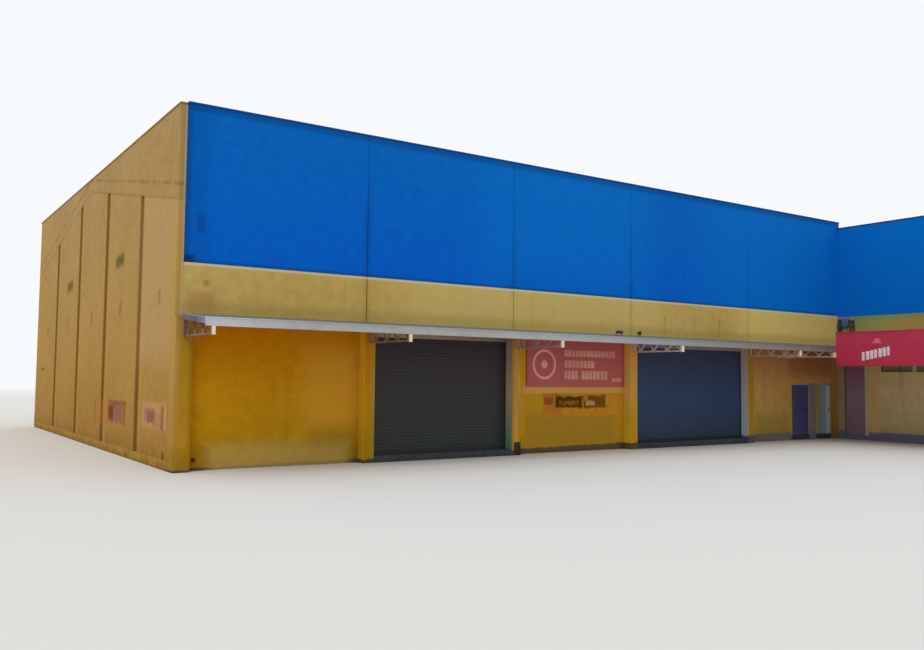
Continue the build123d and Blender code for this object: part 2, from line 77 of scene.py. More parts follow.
# Canopy sheet and fascia
rib_pitch, rib_height, rib_top_width, rib_side_width = 0.25, 0.028, 0.05, 0.03
deck_skin, deck_lift = 0.003, 0.004
fascia_lip, fascia_recess = 0.022, 0.012
fascia_joint_every, fascia_joint_width = 6.0, 0.08
flashing_height = 0.03
end_strip_height, end_strip_stop, end_strip_skin = 0.11, -0.42, 0.012

# Canopy brackets and their gussets
bracket_lines = (0.215, 5.48, 10.75, 15.98, 22.41, 24.59)
bracket_panels, bracket_bar, plate_drop = 7, 0.05, 0.01
gusset_foot, gusset_height, gusset_lap = 0.2, 0.1, 0.02
gusset_skin, gusset_offset = 0.007, 0.015

# Signs; a row of blocks has its left, right, bottom and top, and how many blocks
thin_sheet, board_edge, sign_gap = 0.004, 0.035, 0.03
ring_x, ring_z, ring_outer, ring_band, dot_radius = 12.14, 2.91, 0.5, 0.09, 0.13
sign_rows = (
    (13.01, 15.37, 3.19, 3.41, 14),
    (13.01, 14.39, 2.81, 3.06, 8),
    (13.01, 13.64, 2.42, 2.72, 4),
    (13.78, 15.01, 2.42, 2.72, 7),
    (15.2, 15.66, 2.36, 2.48, 3),
)
banner_x, banner_z, banner_skin, banner_hem = (12.12, 15.78), (1.18, 1.95), 0.006, 0.025
mark_y, mark_z, mark_bars, mark_rise = (-3.31, -4.45), (3.24, 3.56), 7, 0.19
crest_y, crest_z = (-4.11, -3.7), (3.88, 4.06)

# Wing
wing_bay_length = 5.3
ribbon_openings = ((-5.1, -1.9), (-10.4, -7.2))
window_bar, window_pier = 0.045, 0.17
rim_stand, bar_stand, pier_stand = 0.05, 0.044, 0.052
mullion_shares, pier_share = (0.24, 0.57, 0.8), 0.43
trim_width, trim_stand, seam_stand, seam_half = 0.05, 0.012, 0.005, 0.02
frame_side, frame_post, frame_over, strip_width = 0.02, 0.05, 0.25, 0.14
pipe_stand, pipe_y, pipe_top, pipe_shoe = (0.02, 0.13), (-0.21, -0.09), 5.12, 0.12
strap_levels, strap_height, strap_skin, strap_foot = (4.05, 4.75), 0.035, 0.006, 0.02
box_depth, box_y, box_z = 0.12, (-0.56, -0.25), (4.78, 5.14)

# Small fittings
seal_half_width, seal_setback, seal_depth, seal_end = 0.0058, 0.012, 0.06, 0.005
handle_height, handle_from_edge = 1.22, 0.09
guard_left, guard_height, guard_depth, guard_stand = 10.67, 0.42, 0.09, 0.006
lamp_foot = 0.05
turn_to_x, turn_to_y = (0, math.pi / 2, 0), (math.pi / 2, 0, 0)

# Light and background
sky_strength, sky_color = 0.9, (0.95, 0.98, 1.0, 1)
sun_strength, sun_color, sun_angle, sun_way = 0.7, (1.0, 0.97, 0.92), 35, (0.5, 0.42, -0.76)
backdrop_color = (0.93, 0.95, 0.97, 1)
floor_color, floor_size, floor_middle, floor_fade = (0.75, 0.73, 0.7, 1), 900, (14, 5, 0), (45.0, 150.0)


# Modelling by hand

# How near a point has to be to a line or a level to count as on it
near_enough = 0.001
# Edges sharper than the first angle are rounded, and those flatter than the second shaded smooth
sharp_angle, smooth_angle = math.radians(40), math.radians(35)


def select_only(*pieces):
    """Leave just these objects selected, the first one active."""
    bpy.ops.object.select_all(action="DESELECT")
    for piece in pieces:
        piece.select_set(True)
    bpy.context.view_layer.objects.active = pieces[0]


def settle(piece):
    """Put a piece's place, turn and size into its mesh."""
    select_only(piece)
    bpy.ops.object.transform_apply(location=True, rotation=True, scale=True)
    return piece


def start(low, high, add, **values):
    """Add a form between two corners, to be shaped further."""
    bpy.ops.object.select_all(action="DESELECT")
    low, high = Vector(low), Vector(high)
    add(size=1, location=(low + high) / 2, **values)
    bpy.context.object.scale = [length or 1 for length in high - low]
    return settle(bpy.context.object)


def block(low, high):
    return start(low, high, bpy.ops.mesh.primitive_cube_add)


def strip(low, high, steps):
    """A level strip of quads, divided along X only."""
    return start(low, high, bpy.ops.mesh.primitive_grid_add, x_subdivisions=steps, y_subdivisions=1)


def rod(middle, radius, length, turn, sides):
    """A round bar, upright before it is turned."""
    bpy.ops.object.select_all(action="DESELECT")
    bpy.ops.mesh.primitive_cylinder_add(
        vertices=sides, radius=radius, depth=length, location=middle, rotation=turn
    )
    return settle(bpy.context.object)


def shape(kind, piece, test, steps):
    """In edit mode, pick a piece's faces, edges or points by a test and take steps on them."""
    select_only(piece)
    bpy.ops.object.mode_set(mode="EDIT")
    bpy.ops.mesh.select_mode(type=kind)
    bpy.ops.mesh.select_all(action="DESELECT")
    mesh = bmesh.from_edit_mesh(piece.data)
    for part in getattr(mesh, kind.lower() + "s"):
        part.select_set(test(part))
    bmesh.update_edit_mesh(piece.data)
    for step in steps:
        step()
    bpy.ops.object.mode_set(mode="OBJECT")


def on_faces(piece, test, *steps):
    """Take steps on the faces whose middle and normal pass the test."""
    shape("FACE", piece, lambda face: test(face.calc_center_median(), face.normal), steps)


def on_edges(piece, test, *steps):
    """Take steps on the edges whose two ends pass the test."""
    shape("EDGE", piece, lambda edge: test(*[end.co for end in edge.verts]), steps)


def on_points(piece, test, *steps):
    """Take steps on the points whose places pass the test."""
    shape("VERT", piece, lambda point: test(point.co), steps)


# Steps to take on what is picked
bridge = bpy.ops.mesh.bridge_edge_loops


def remove_faces():
    bpy.ops.mesh.delete(type="FACE")


def inset(edge, depth=0.0):
    return lambda: bpy.ops.mesh.inset(thickness=edge, depth=depth)


def extrude(*way):
    return lambda: bpy.ops.mesh.extrude_region_move(TRANSFORM_OT_translate={"value": way})


def move(*way):
    return lambda: bpy.ops.transform.translate(value=way)


def resize(*scale):
    return lambda: bpy.ops.transform.resize(value=scale)


def bevel(width, segments):
    return lambda: bpy.ops.mesh.bevel(offset=width, segments=segments, affect="EDGES")


def cut(piece, axis, level):
    """Cut a piece's faces in two, square to an axis, and keep both sides."""
    place, way = Vector(), Vector()
    place[axis], way[axis] = level, 1
    on_faces(piece, lambda c, n: True, lambda: bpy.ops.mesh.bisect(plane_co=place, plane_no=way))


def facing(side):
    """A test for faces that look to a side such as -x, or to both sides, as in +-x."""
    axis, signs = "xyz".index(side[-1]), side[:-1]
    return lambda middle, normal: abs(normal[axis]) > 0.9 and ("-" if normal[axis] < 0 else "+") in signs


def modify(piece, kind, **settings):
    """Give a piece a modifier with these settings, and apply it."""
    modifier = piece.modifiers.new(kind.lower(), kind)
    for name, value in settings.items():
        setattr(modifier, name, value)
    select_only(piece)
    bpy.ops.object.modifier_apply(modifier=modifier.name)
    return piece


def soften(piece, width, segments=2):
    """Round a piece's sharp edges."""
    limit = {"limit_method": "ANGLE", "angle_limit": sharp_angle}
    return modify(piece, "BEVEL", width=width, segments=segments, **limit)


def repeat(piece, count, step, merge=False):
    """Repeat a piece's mesh along a step."""
    fixed = {"use_relative_offset": False, "use_constant_offset": True, "merge_threshold": 0.0005}
    return modify(
        piece, "ARRAY", count=count, constant_offset_displace=step, use_merge_vertices=merge, **fixed
    )


def thicken(piece, skin):
    """Give a sheet its thickness, below its upper side."""
    return modify(piece, "SOLIDIFY", thickness=skin, offset=-1)


def join(parts):
    select_only(*parts)
    if len(parts) > 1:
        bpy.ops.object.join()
    return parts[0]


def build(name, parts, finish, soft=0.0, segments=2, body="building"):
    """Make one finished piece of its parts, with rounded edges where soft gives their width."""
    piece = join(parts)
    piece.name = piece.data.name = name
    if soft:
        soften(piece, soft, segments)
    piece.data.materials.clear()
    piece.data.materials.append(bpy.data.materials[finish])
    select_only(piece)
    bpy.ops.object.shade_smooth_by_angle(angle=smooth_angle)
    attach(piece, body)
    return piece


# Shader nodes


def paint(code):
    """The linear colour of a hex code."""
    parts = [int(code[i : i + 2], 16) / 255 for i in (0, 2, 4)]
    linear = [p / 12.92 if p <= 0.04045 else ((p + 0.055) / 1.055) ** 2.4 for p in parts]
    return (*linear, 1.0)


class Field:
    """A value or a colour in a node tree; sums and products with it add math nodes."""

    def __init__(self, socket):
        self.socket = socket
        self.tree = socket.id_data

    def __add__(self, other):
        return calc("ADD", self, other)

    def __sub__(self, other):
        return calc("SUBTRACT", self, other)

    def __rsub__(self, other):
        return calc("SUBTRACT", other, self)

    def __mul__(self, other):
        return calc("MULTIPLY", self, other)

    def __truediv__(self, other):
        return calc("DIVIDE", self, other)

    def __abs__(self):
        return calc("ABSOLUTE", self)


def feed(source, target):
    """Link a field into an input, or set the input to a value or to a hex code's colour."""
    if isinstance(source, Field):
        source.tree.links.new(source.socket, target)
    else:
        target.default_value = paint(source) if isinstance(source, str) else source


def add_node(tree, kind, inputs=(), **settings):
    """Add a shader node; its inputs are given in their order, or by name or number."""
    made = tree.nodes.new("ShaderNode" + kind)
    for name, value in settings.items():
        setattr(made, name, value)
    given = inputs if isinstance(inputs, dict) else dict(enumerate(inputs))
    for name, value in given.items():
        feed(value, made.inputs[name])
    return made


def field(tree, kind, inputs=(), output=0, **settings):
    return Field(add_node(tree, kind, inputs, **settings).outputs[output])


def tree_of(values):
    return next(value.tree for value in values if isinstance(value, Field))


def calc(operation, *values, **settings):
    return field(tree_of(values), "Math", values, operation=operation, **settings)


def most(first, second):
    return calc("MAXIMUM", first, second)


def remap(value, low, high, to_low=0.0, to_high=1.0):
    """Bring a value smoothly from one range to another."""
    inputs = (value, low, high, to_low, to_high)
    return field(value.tree, "MapRange", inputs, interpolation_type="SMOOTHSTEP")


def mix(share, first, second, blend="MIX"):
    inputs = {0: share, 6: first, 7: second}
    return field(tree_of(inputs.values()), "Mix", inputs, 2, data_type="RGBA", blend_type=blend)


def noise(place, scale, detail=3.0, rough=0.55):
    inputs = {"Vector": place, "Scale": scale, "Detail": detail, "Roughness": rough}
    return field(place.tree, "TexNoise", inputs)


def stretch(place, scale):
    return field(place.tree, "Mapping", {"Vector": place, "Scale": scale})


def object_place(tree):
    return field(tree, "TexCoord", output="Object")


def object_axes(tree):
    """X, Y and Z on the object, each a field."""
    return [Field(socket) for socket in add_node(tree, "SeparateXYZ", [object_place(tree)]).outputs]


def blend_colors(value, stops):
    """Colours that follow a value, from one stop (value, colour) to the next."""
    first, last = stops[0][0], stops[-1][0]
    ramp = add_node(value.tree, "ValToRGB", [(value - first) / (last - first)])
    ends = ramp.color_ramp.elements
    ends[0].color, ends[1].color = paint(stops[0][1]), paint(stops[-1][1])
    for place, color in stops[1:-1]:
        ends.new((place - first) / (last - first)).color = paint(color)
    return Field(ramp.outputs[0])


def nearest_line(value, lines):
    """How far a value is from the nearest of some lines."""
    nearest = abs(value - lines[0])
    for line in lines[1:]:
        nearest = calc("MINIMUM", nearest, abs(value - line))
    return nearest


def new_group(name, inputs=()):
    """Start a node group; inputs are colours where their first value is one, else numbers."""
    group = bpy.data.node_groups.new(name, "ShaderNodeTree")
    for label, value in dict(inputs).items():
        kind = "NodeSocketColor" if isinstance(value, tuple) else "NodeSocketFloat"
        group.interface.new_socket(name=label, in_out="INPUT", socket_type=kind).default_value = value
    sockets = group.nodes.new("NodeGroupInput").outputs
    return group, [Field(socket) for socket in list(sockets)[: len(inputs)]]


def put_out(group, **outputs):
    """Finish a node group with its outputs."""
    for label in outputs:
        kind = "NodeSocketColor" if label == "Color" else "NodeSocketFloat"
        group.interface.new_socket(name=label, in_out="OUTPUT", socket_type=kind)
    end = group.nodes.new("NodeGroupOutput")
    for label, value in outputs.items():
        feed(value, end.inputs[label])
    return group


def use_group(tree, group, inputs=()):
    made = add_node(tree, "Group", inputs, node_tree=group)
    return {socket.name: Field(socket) for socket in made.outputs}


grey = (0.5, 0.5, 0.5, 1.0)


def make_weathered_paint():
    """Masonry paint: broad fading, rain streaks, fine mottling and splashed grime at the foot."""
    inputs = {"Paint": grey, "Faded": grey, "Grime": grey, "Patch Scale": 0.5, "Patches": 0.6}
    inputs |= {"Streaks": 0.3, "Foot Height": 0.7, "Foot Grime": 0.5}
    group, given = new_group("Weathered Paint", inputs)
    fresh, faded, grime, patch_scale, patches, streaks, foot_height, foot_grime = given
    place, height = object_place(group), object_axes(group)[2]
    middling, fine = noise(place, 3.1, 5, 0.6), noise(place, 22, 4, 0.6)
    broad = remap(noise(place, patch_scale, 5, 0.6), 0.36, 0.66)
    color = mix(broad * patches, fresh, faded)
    runs = noise(stretch(place, (4.0, 4.0, 0.16)), 1.0, 5, 0.65)
    foot = remap(height + (middling * 0.7 - 0.35), foot_height, 0.0) * foot_grime
    dirt = most(remap(runs, 0.52, 0.78) * streaks, foot)
    color = mix(dirt * remap(fine, 0.25, 0.6, 0.55, 1.0), color, grime)
    shade = remap(middling, 0.3, 0.7, 0.93, 1.06) * remap(fine, 0.3, 0.7, 0.96, 1.04)
    color = mix(1.0, color, field(group, "CombineColor", (shade, shade, shade)), "MULTIPLY")
    relief = noise(place, 120, 2) * 0.35 + fine * 0.65
    return put_out(group, Color=color, Roughness=remap(fine, 0.3, 0.7, 0.8, 0.95), Height=relief)


def make_block_courses():
    """Courses of blocks under the paint, running round the building's corners."""
    group = new_group("Block Courses")[0]
    x, y, z = object_axes(group)
    inputs = {"Vector": field(group, "CombineXYZ", (x + y, z)), "Scale": 1.0, "Mortar Smooth": 0.6}
    inputs |= {"Mortar Size": 0.008, "Brick Width": 0.4, "Row Height": 0.2}
    return put_out(group, Mask=field(group, "TexBrick", inputs, "Fac"))


def make_wall_patch():
    """A soft rectangle on a wall, 1 inside it, which may slant or be broken into scraps."""
    names = ("Across", "Up", "Middle Across", "Middle Up", "Half Width", "Half Height")
    names += ("Soft Edge", "Ragged", "Slant", "Broken")
    group, given = new_group("Wall Patch", dict.fromkeys(names, 0.0))
    across, up, middle_across, middle_up, half_width, half_height, soft, ragged, slant, broken = given
    place = object_place(group)
    across = across - middle_across
    up = up - middle_up - across * slant
    past = most(abs(across) - half_width, abs(up) - half_height)
    rag = (noise(place, 5.5, 5, 0.7) - 0.5) * ragged
    scraps = remap(noise(place, 6.5, 3, 0.6), 0.44, 0.54)
    return put_out(group, Mask=remap(past + rag, soft, 0.0) * (1.0 - broken * scraps))


def make_panel_edges():
    """How near a point is to the joints between the front's face panels."""
    group = new_group("Panel Edges")[0]
    nearest = nearest_line(object_axes(group)[0], panel_joints)
    return put_out(group, Shade=remap(nearest, 0.22, 0.0), Line=remap(nearest, 0.03, 0.012))


def make_metal_wear():
    """Painted or bare metal: dust, rubbed patches and a few rust spots."""
    inputs = {"Paint": grey, "Dust": grey, "Rust": grey}
    inputs |= {"Dust Amount": 0.3, "Rust Amount": 0.2, "Gloss": 0.45}
    group, (fresh, dusty, rusty, dust_amount, rust_amount, gloss) = new_group("Metal Wear", inputs)
    place = object_place(group)
    broad, spots, fine = noise(place, 1.3, 5, 0.6), noise(place, 17, 5, 0.7), noise(place, 90, 3)
    runs = noise(stretch(place, (9.0, 9.0, 0.7)), 1.0, 4, 0.6)
    dust = most(remap(broad, 0.35, 0.7), remap(runs, 0.5, 0.8)) * dust_amount
    color = mix(remap(spots, 0.62, 0.74) * rust_amount, mix(dust, fresh, dusty), rusty)
    rough = calc("ADD", gloss + dust * 0.3, fine * 0.12 - 0.06, use_clamp=True)
    return put_out(group, Color=color, Roughness=rough, Height=fine * 0.3 + broad * 0.7)


weathered_paint = make_weathered_paint()
block_courses = make_block_courses()
wall_patch = make_wall_patch()
panel_edges = make_panel_edges()
metal_wear = make_metal_wear()


def new_material(name, metallic=0.0, specular=0.5):
    material = bpy.data.materials.new(name)
    material.use_nodes = True
    shader = material.node_tree.nodes["Principled BSDF"]
    feed(metallic, shader.inputs["Metallic"])
    feed(specular, shader.inputs["Specular IOR Level"])
    return material.node_tree, shader


def finish_surface(shader, color, rough, height, strength=0.5, distance=0.006):
    """Join a colour, a roughness and a relief to the shader."""
    bump = {"Strength": strength, "Distance": distance, "Height": height}
    surface = {"Base Color": color, "Roughness": rough, "Normal": field(shader.id_data, "Bump", bump)}
    for name, value in surface.items():
        feed(value, shader.inputs[name])


def lay_marks(color, marks, along):
    """Lay marks over a wall's colour, one after the other.

    A mark's row has its middle along the wall and up, half its width and height, its colour and
    strength, its soft edge and raggedness and, where it needs them, its slant and broken share.
    """
    axes = object_axes(color.tree)
    for row in marks:
        place, (tint, strength), edges = row[:4], row[4:6], row[6:]
        inputs = (axes["XYZ".index(along)], axes[2], *place, *edges)
        mask = use_group(color.tree, wall_patch, inputs)["Mask"]
        color = mix(mask * strength, color, tint)
    return color


def coat_color(tree, color, along="Z"):
    """One colour, or colours that change along an axis, given as (place, colour) stops."""
    if isinstance(color, str):
        return color
    return blend_colors(object_axes(tree)["XYZ".index(along)], color)


# Named colours, as hex codes

wall_grime, dark_olive, blue_grime_and_shade = "604A24", "483A16", "043876"
cream, corner_cream = "D4C69E", "C4BC9E"
rust_brown, dust_grey, foot_grey = "6E3E22", "96928A", "3C3836"
blue_high, blue_low = "0062BA", "005ECA"


def wall_finish(
    name, fresh, faded, wear, courses=0.35, grime=wall_grime, marks=(), along="X", extra=None
):
    """A painted masonry wall with its own marks.

    Wear gives its patches' scale and strength, its streaks, and its dirty foot's height and strength.
    Extra is a function that gives the colour anew from the colour so far and the point's x, y and z.
    """
    tree, shader = new_material(name, specular=0.08)
    colors = (coat_color(tree, fresh), coat_color(tree, faded), grime)
    coat = use_group(tree, weathered_paint, (*colors, *wear))
    color, height = coat["Color"], coat["Height"]
    if courses:
        joint = use_group(tree, block_courses)["Mask"]
        color = mix(joint * (courses * 0.35), color, grime)
        height = height - joint * courses
    if extra:
        color = extra(color, *object_axes(tree))
    finish_surface(shader, lay_marks(color, marks, along), coat["Roughness"], height)


def metal_finish(
    name, fresh, dust, wear=(0.3, 0.15, 0.45), metallic=0.0, along="Z", extra=None, specular=0.35
):
    """Painted or galvanised metal; wear gives its dust, rust and roughness."""
    tree, shader = new_material(name, metallic, specular)
    coat = use_group(tree, metal_wear, (coat_color(tree, fresh, along), dust, rust_brown, *wear))
    color = extra(coat["Color"], *object_axes(tree)) if extra else coat["Color"]
    finish_surface(shader, color, coat["Roughness"], coat["Height"], 0.25, 0.003)


# Side wall


def corner_edge(color, x, y, z):
    """A pale line of sealant on the corner, where the first face panel stops short of it."""
    face = remap(abs(y - 0.15), 0.006, 0.003) * remap(x, 0.11, 0.15) * remap(x, 0.2, 0.19)
    return mix(face * 0.7, color, corner_cream)


def roof_lines(color, x, y, z):
    """A solid and a broken line parallel to the roof, and the sealant on the corner."""
    dashes = noise(stretch(object_place(color.tree), (1.0, 1.3, 0.4)), 1.0, 5, 0.7)
    for rise, half, strength in ((0.0, 0.03, 0.24), (0.42, 0.034, 0.42)):
        top = eaves_height + roof_slope * ridge_y + rise
        off = abs(z - (abs(y - ridge_y) * -roof_slope + top))
        mask = remap(off, half * 2.2, half * 0.4)
        if rise:
            mask = mask * remap(dashes, 0.4, 0.58, 0.15, 1.0)
        color = mix(mask * strength, color, wall_grime)
    return corner_edge(color, x, y, z)


def beside_grooves(color, x, y, z):
    """Painted shade beside the grooves, browner, and a painted highlight along their edge towards the front.
    """
    paler = nearest_line(y, [line - 0.42 for line in groove_lines])
    color = mix(remap(paler, 0.16, 0.05, 0.0, 0.45), color, "BC8C4C")
    color = mix(remap(nearest_line(y, groove_lines), 0.3, 0.2, 0.0, 0.7), color, "845E24")
    return roof_lines(color, x, y, z)


side_paint = [(0.3, "A47832"), (3.0, "AC8744"), (6.0, "AE8B4E"), (9.0, "AB8A56")]
side_faded = [(0.3, "AC823C"), (3.0, "B48C4A"), (9.0, "B5945E")]
poster_pink, poster_red, frame_brown = "9C6454", "702C1A", "7A5228"
repaint_mark = (7.2, 1.2, 1.75, 0.38, "B27A38", 0.6, 0.08, 0.06)
side_marks = [
    repaint_mark,
    (5.9, 1.02, 0.9, 0.12, "B47A52", 0.5, 0.12, 0.2),
    (6.1, 1.28, 0.7, 0.2, poster_pink, 0.75, 0.16, 0.35),
    (6.0, 1.25, 0.8, 0.22, poster_red, 0.35, 0.16, 0.3, 0.0, 0.8),
    (6.82, 1.24, 0.26, 0.15, poster_red, 0.8, 0.16, 0.25),
    (6.0, 1.57, 1.1, 0.03, frame_brown, 0.6, 0.06, 0.1),
    (5.05, 1.25, 0.09, 0.31, frame_brown, 0.65, 0.07, 0.15),
    (1.75, 1.33, 1.2, 0.27, "C49468", 0.65, 0.16, 0.4),
    (2.25, 1.34, 0.5, 0.13, poster_pink, 0.6, 0.14, 0.35),
    (2.1, 1.3, 0.3, 0.08, "704228", 0.7, 0.14, 0.4, 0.0, 0.5),
    (1.45, 1.22, 0.45, 0.14, poster_pink, 0.5, 0.14, 0.4, 0.0, 0.6),
    (1.0, 1.31, 0.09, 0.27, frame_brown, 0.6, 0.09, 0.2),
    (0.5, 1.36, 0.06, 0.32, frame_brown, 0.55, 0.07, 0.2),
    (1.63, 4.5, 0.09, 0.16, dark_olive, 0.6, 0.08, 0.12),
    (6.03, 4.42, 0.07, 0.17, dark_olive, 0.4, 0.09, 0.12),
    (10.22, 4.33, 0.07, 0.2, dark_olive, 0.42, 0.1, 0.12),
    (14.57, 4.36, 0.06, 0.17, dark_olive, 0.3, 0.1, 0.12),
    (19.16, 4.2, 0.1, 0.17, dark_olive, 0.35, 0.1, 0.12),
    (2.0, 5.2, 1.2, 1.8, "C2A072", 0.4, 1.2, 0.3),
    (6.25, 5.95, 0.4, 0.05, "60541E", 0.85, 0.26, 0.35, -0.06),
    (14.4, 5.8, 0.4, 0.05, "60541E", 0.85, 0.26, 0.35, -0.06),
    (20.1, 2.62, 0.5, 0.02, dark_olive, 0.6, 0.07, 0.1),
    (9.05, 1.17, 0.06, 0.38, dark_olive, 0.3, 0.08, 0.08),
    (0.85, 0.3, 0.07, 0.12, dark_olive, 0.7, 0.07, 0.15),
    (0.4, 0.25, 0.06, 0.12, dark_olive, 0.6, 0.07, 0.15),
]
side_wear = (0.32, 0.6, 0.2, 0.9, 0.35)
side_look = {"marks": side_marks, "along": "Y", "extra": beside_grooves}
wall_finish("Side wall paint", side_paint, side_faded, side_wear, **side_look)
parapet_wear = (0.32, 0.6, 0.2, 0.1, 0.0)
wall_finish("Side parapet paint", side_paint, side_faded, parapet_wear, 0.2, extra=roof_lines)
groove_wear = (0.5, 0.6, 0.3, 0.5, 0.3)
wall_finish("Side groove paint", "BC904E", "C49654", groove_wear, marks=[repaint_mark], along="Y")
wall_finish("Side plinth paint", "9F7A31", "A7823A", (0.9, 0.6, 0.2, 0.22, 0.5), 0, dark_olive)

# Face panels of the front


def shade_joints(color, tint, shade, line):
    """Darken the paint beside the joints between panels."""
    near = use_group(color.tree, panel_edges)
    return mix(near["Line"] * line, mix(near["Shade"] * shade, color, tint), tint)


def blue_joints_and_end(color, x, y, z):
    """Panel joints that fade upwards, and painted shade darkening the end of the first panel beside the side
    wall.
    """
    color = mix(remap(z, 8.6, 6.8, 0.2, 1.0), color, shade_joints(color, blue_grime_and_shade, 0.3, 0.5))
    return mix(remap(x, 0.34, 0.2, 0.0, 0.75), color, "043E6C")


def band_joints(color, x, y, z):
    return shade_joints(color, dark_olive, 0.18, 0.45)


blue_marks = [
    (26.8, 7.3, 4.2, 3.0, "0070C8", 0.7, 5.0, 0.4),
    (13.0, 7.7, 2.6, 1.2, "0070C8", 0.5, 2.2, 0.4),
    # Painted shade, widening the darker end of the panels at the corner
    (0.4, 7.3, 0.15, 2.1, "0054A8", 0.5, 0.4, 0.2),
    (0.56, 6.3, 0.02, 0.16, blue_grime_and_shade, 0.45, 0.16, 0.12),
    (0.24, 5.36, 0.08, 0.04, "0E2230", 0.8, 0.14, 0.1),
    # Painted shadow: a dark blue line along the bottom edge of the blue panels
    (14.17, 5.31, 14.1, 0.03, blue_grime_and_shade, 0.4, 0.06, 0.05),
    (14.17, 9.3, 14.3, 0.05, blue_grime_and_shade, 0.45, 0.14, 0.08),
]
wall_finish(
    "Blue wall paint",
    [(5.3, blue_low), (9.3, blue_high)],
    [(5.3, "005EBE"), (9.3, "0466B8")],
    (0.28, 0.5, 0.15, 0.1, 0.0),
    0,
    blue_grime_and_shade,
    marks=blue_marks,
    extra=blue_joints_and_end,
)

band_marks = [
    (17.57, 4.45, 0.02, 0.3, dark_olive, 0.22, 0.07, 0.06),
    (20.54, 4.4, 0.02, 0.3, dark_olive, 0.28, 0.07, 0.06),
    (23.2, 4.5, 0.02, 0.3, dark_olive, 0.26, 0.07, 0.06),
    (27.33, 4.4, 0.02, 0.3, dark_olive, 0.22, 0.07, 0.06),
    (25.7, 4.4, 0.02, 0.3, dark_olive, 0.14, 0.07, 0.06),
    # Painted light: paler paint on the band beside the wing, where the wing shades it
    (25.6, 4.6, 2.8, 0.7, "DABC6C", 0.75, 2.0, 0.3),
    (12.0, 4.6, 4.6, 0.7, "CEB470", 0.5, 2.0, 0.3),
    (0.72, 4.78, 0.03, 0.04, rust_brown, 0.4, 0.07, 0.05),
    (0.62, 4.3, 0.26, 0.16, "A87C42", 0.5, 0.2, 0.2),
    (14.17, 4.05, 14.2, 0.1, "8C7C3E", 0.35, 0.3, 0.2),
    (14.17, 5.245, 14.2, 0.026, cream, 0.65, 0.014, 0.01),
    (28.27, 4.6, 0.05, 0.7, cream, 0.6, 0.05, 0.02),
]
band_wear = (0.45, 0.6, 0.22, 0.1, 0.0)
wall_finish("Band paint", "BD9F55", "C5A968", band_wear, 0, marks=band_marks, extra=band_joints)

# Walls and columns under the canopy


def dark_foot(color, x, y, z):
    """Painted shade and splashed grey-brown dirt along the foot, for the shaded ground below it; a little
    higher towards the inner corner, bluer grey near the wing.
    """
    rag = noise(object_place(color.tree), 2.5, 4, 0.6) * 0.12 - 0.06
    above = z - (x * 0.011 + 0.02) + rag
    tone = mix(remap(x, 20.0, 26.0), foot_grey, "626A88")
    return mix(remap(above, 0.06, 0.0, 0.0, 0.88), color, tone)


def duller_bays(color, x, y, z):
    """The middle bay's paint is a little duller than the first bay's."""
    return dark_foot(mix(remap(x, 7.0, 10.5, 0.0, 0.6), color, "CA9A22"), x, y, z)


lower_marks = [
    (0.62, 0.27, 0.03, 0.03, "281C0C", 0.9, 0.05, 0.02),
    (4.5, 0.62, 0.36, 0.16, "705A04", 0.42, 0.7, 0.5),
    (3.0, 0.2, 1.7, 0.1, "C4A660", 0.5, 0.6, 0.22),
    (11.1, 2.0, 0.2, 1.4, "DEA23C", 0.5, 0.12, 0.4),
    (4.6, 2.1, 0.5, 0.7, "D89830", 0.6, 0.9, 0.4),
    # Painted highlight: a pale orange line on the wall just under the signboard
    (13.6, 2.05, 2.3, 0.07, "E4A868", 0.7, 0.08, 0.05),
    (13.4, 0.75, 1.7, 0.25, "967832", 0.45, 0.6, 0.4),
]
# Painted light: the lower walls have the band's mustard paint, painted a deeper orange for the light bounced
# under the canopy and redder towards the top for its shade
wall_finish(
    "Lower wall paint and painted light",
    [(0.4, "B08208"), (2.0, "CA8C0A"), (3.6, "D28100")],
    [(0.4, "AE880C"), (2.0, "CE9216"), (3.6, "D68806")],
    (0.55, 0.6, 0.16, 1.0, 0.35),
    marks=lower_marks,
    extra=duller_bays,
)

# Colours between two places across the columns' fronts and sides, each by height
column_tones = (
    # Painted light: the shaded left face of the second column made paler
    (5.29, 5.318, [(0.6, "D0A21E"), (1.4, "E6B624"), (2.3, "EEBC2A")]),
    (5.318, 5.47, [(0.6, "A67A08"), (1.4, "BE8A0E"), (2.3, "CC861A"), (3.1, "D47E0E")]),
    (5.48, 5.68, [(0.6, "9E8024"), (1.4, "B1872A"), (2.3, "C48C3A"), (3.1, "CA882C")]),
    (10.83, 10.95, [(1.4, "BA8E22"), (2.3, "D6A634"), (3.1, "CA8C3A")]),
    # Painted light: the shaded left face of the fourth column made paler
    (15.79, 15.818, [(1.0, "E2BE34"), (2.1, "F4CA64"), (3.2, "F6CC62")]),
    (15.818, 16.08, [(1.0, "C89420"), (2.1, "DAA84C"), (3.2, "ECA058")]),
    (16.085, 16.16, [(1.0, "CE9A3A"), (2.1, "D8A65C"), (3.2, "E8A660")]),
)
jamb_tones = (
    [(0.5, "6E967C"), (1.9, "CEB090"), (3.4, "BA9686")],
    [(0.5, "BACED2"), (1.9, "D6CABC"), (3.4, "CEB8AE")],
)
column_marks = [
    (0.1, 0.2, 0.3, 0.2, "927014", 0.55, 0.35, 0.2),
    (0.39, 2.0, 0.035, 2.0, "A06E04", 0.7, 0.02, 0.01),
    (10.79, 2.0, 0.12, 2.0, "C89846", 0.85, 0.04, 0.01),
]


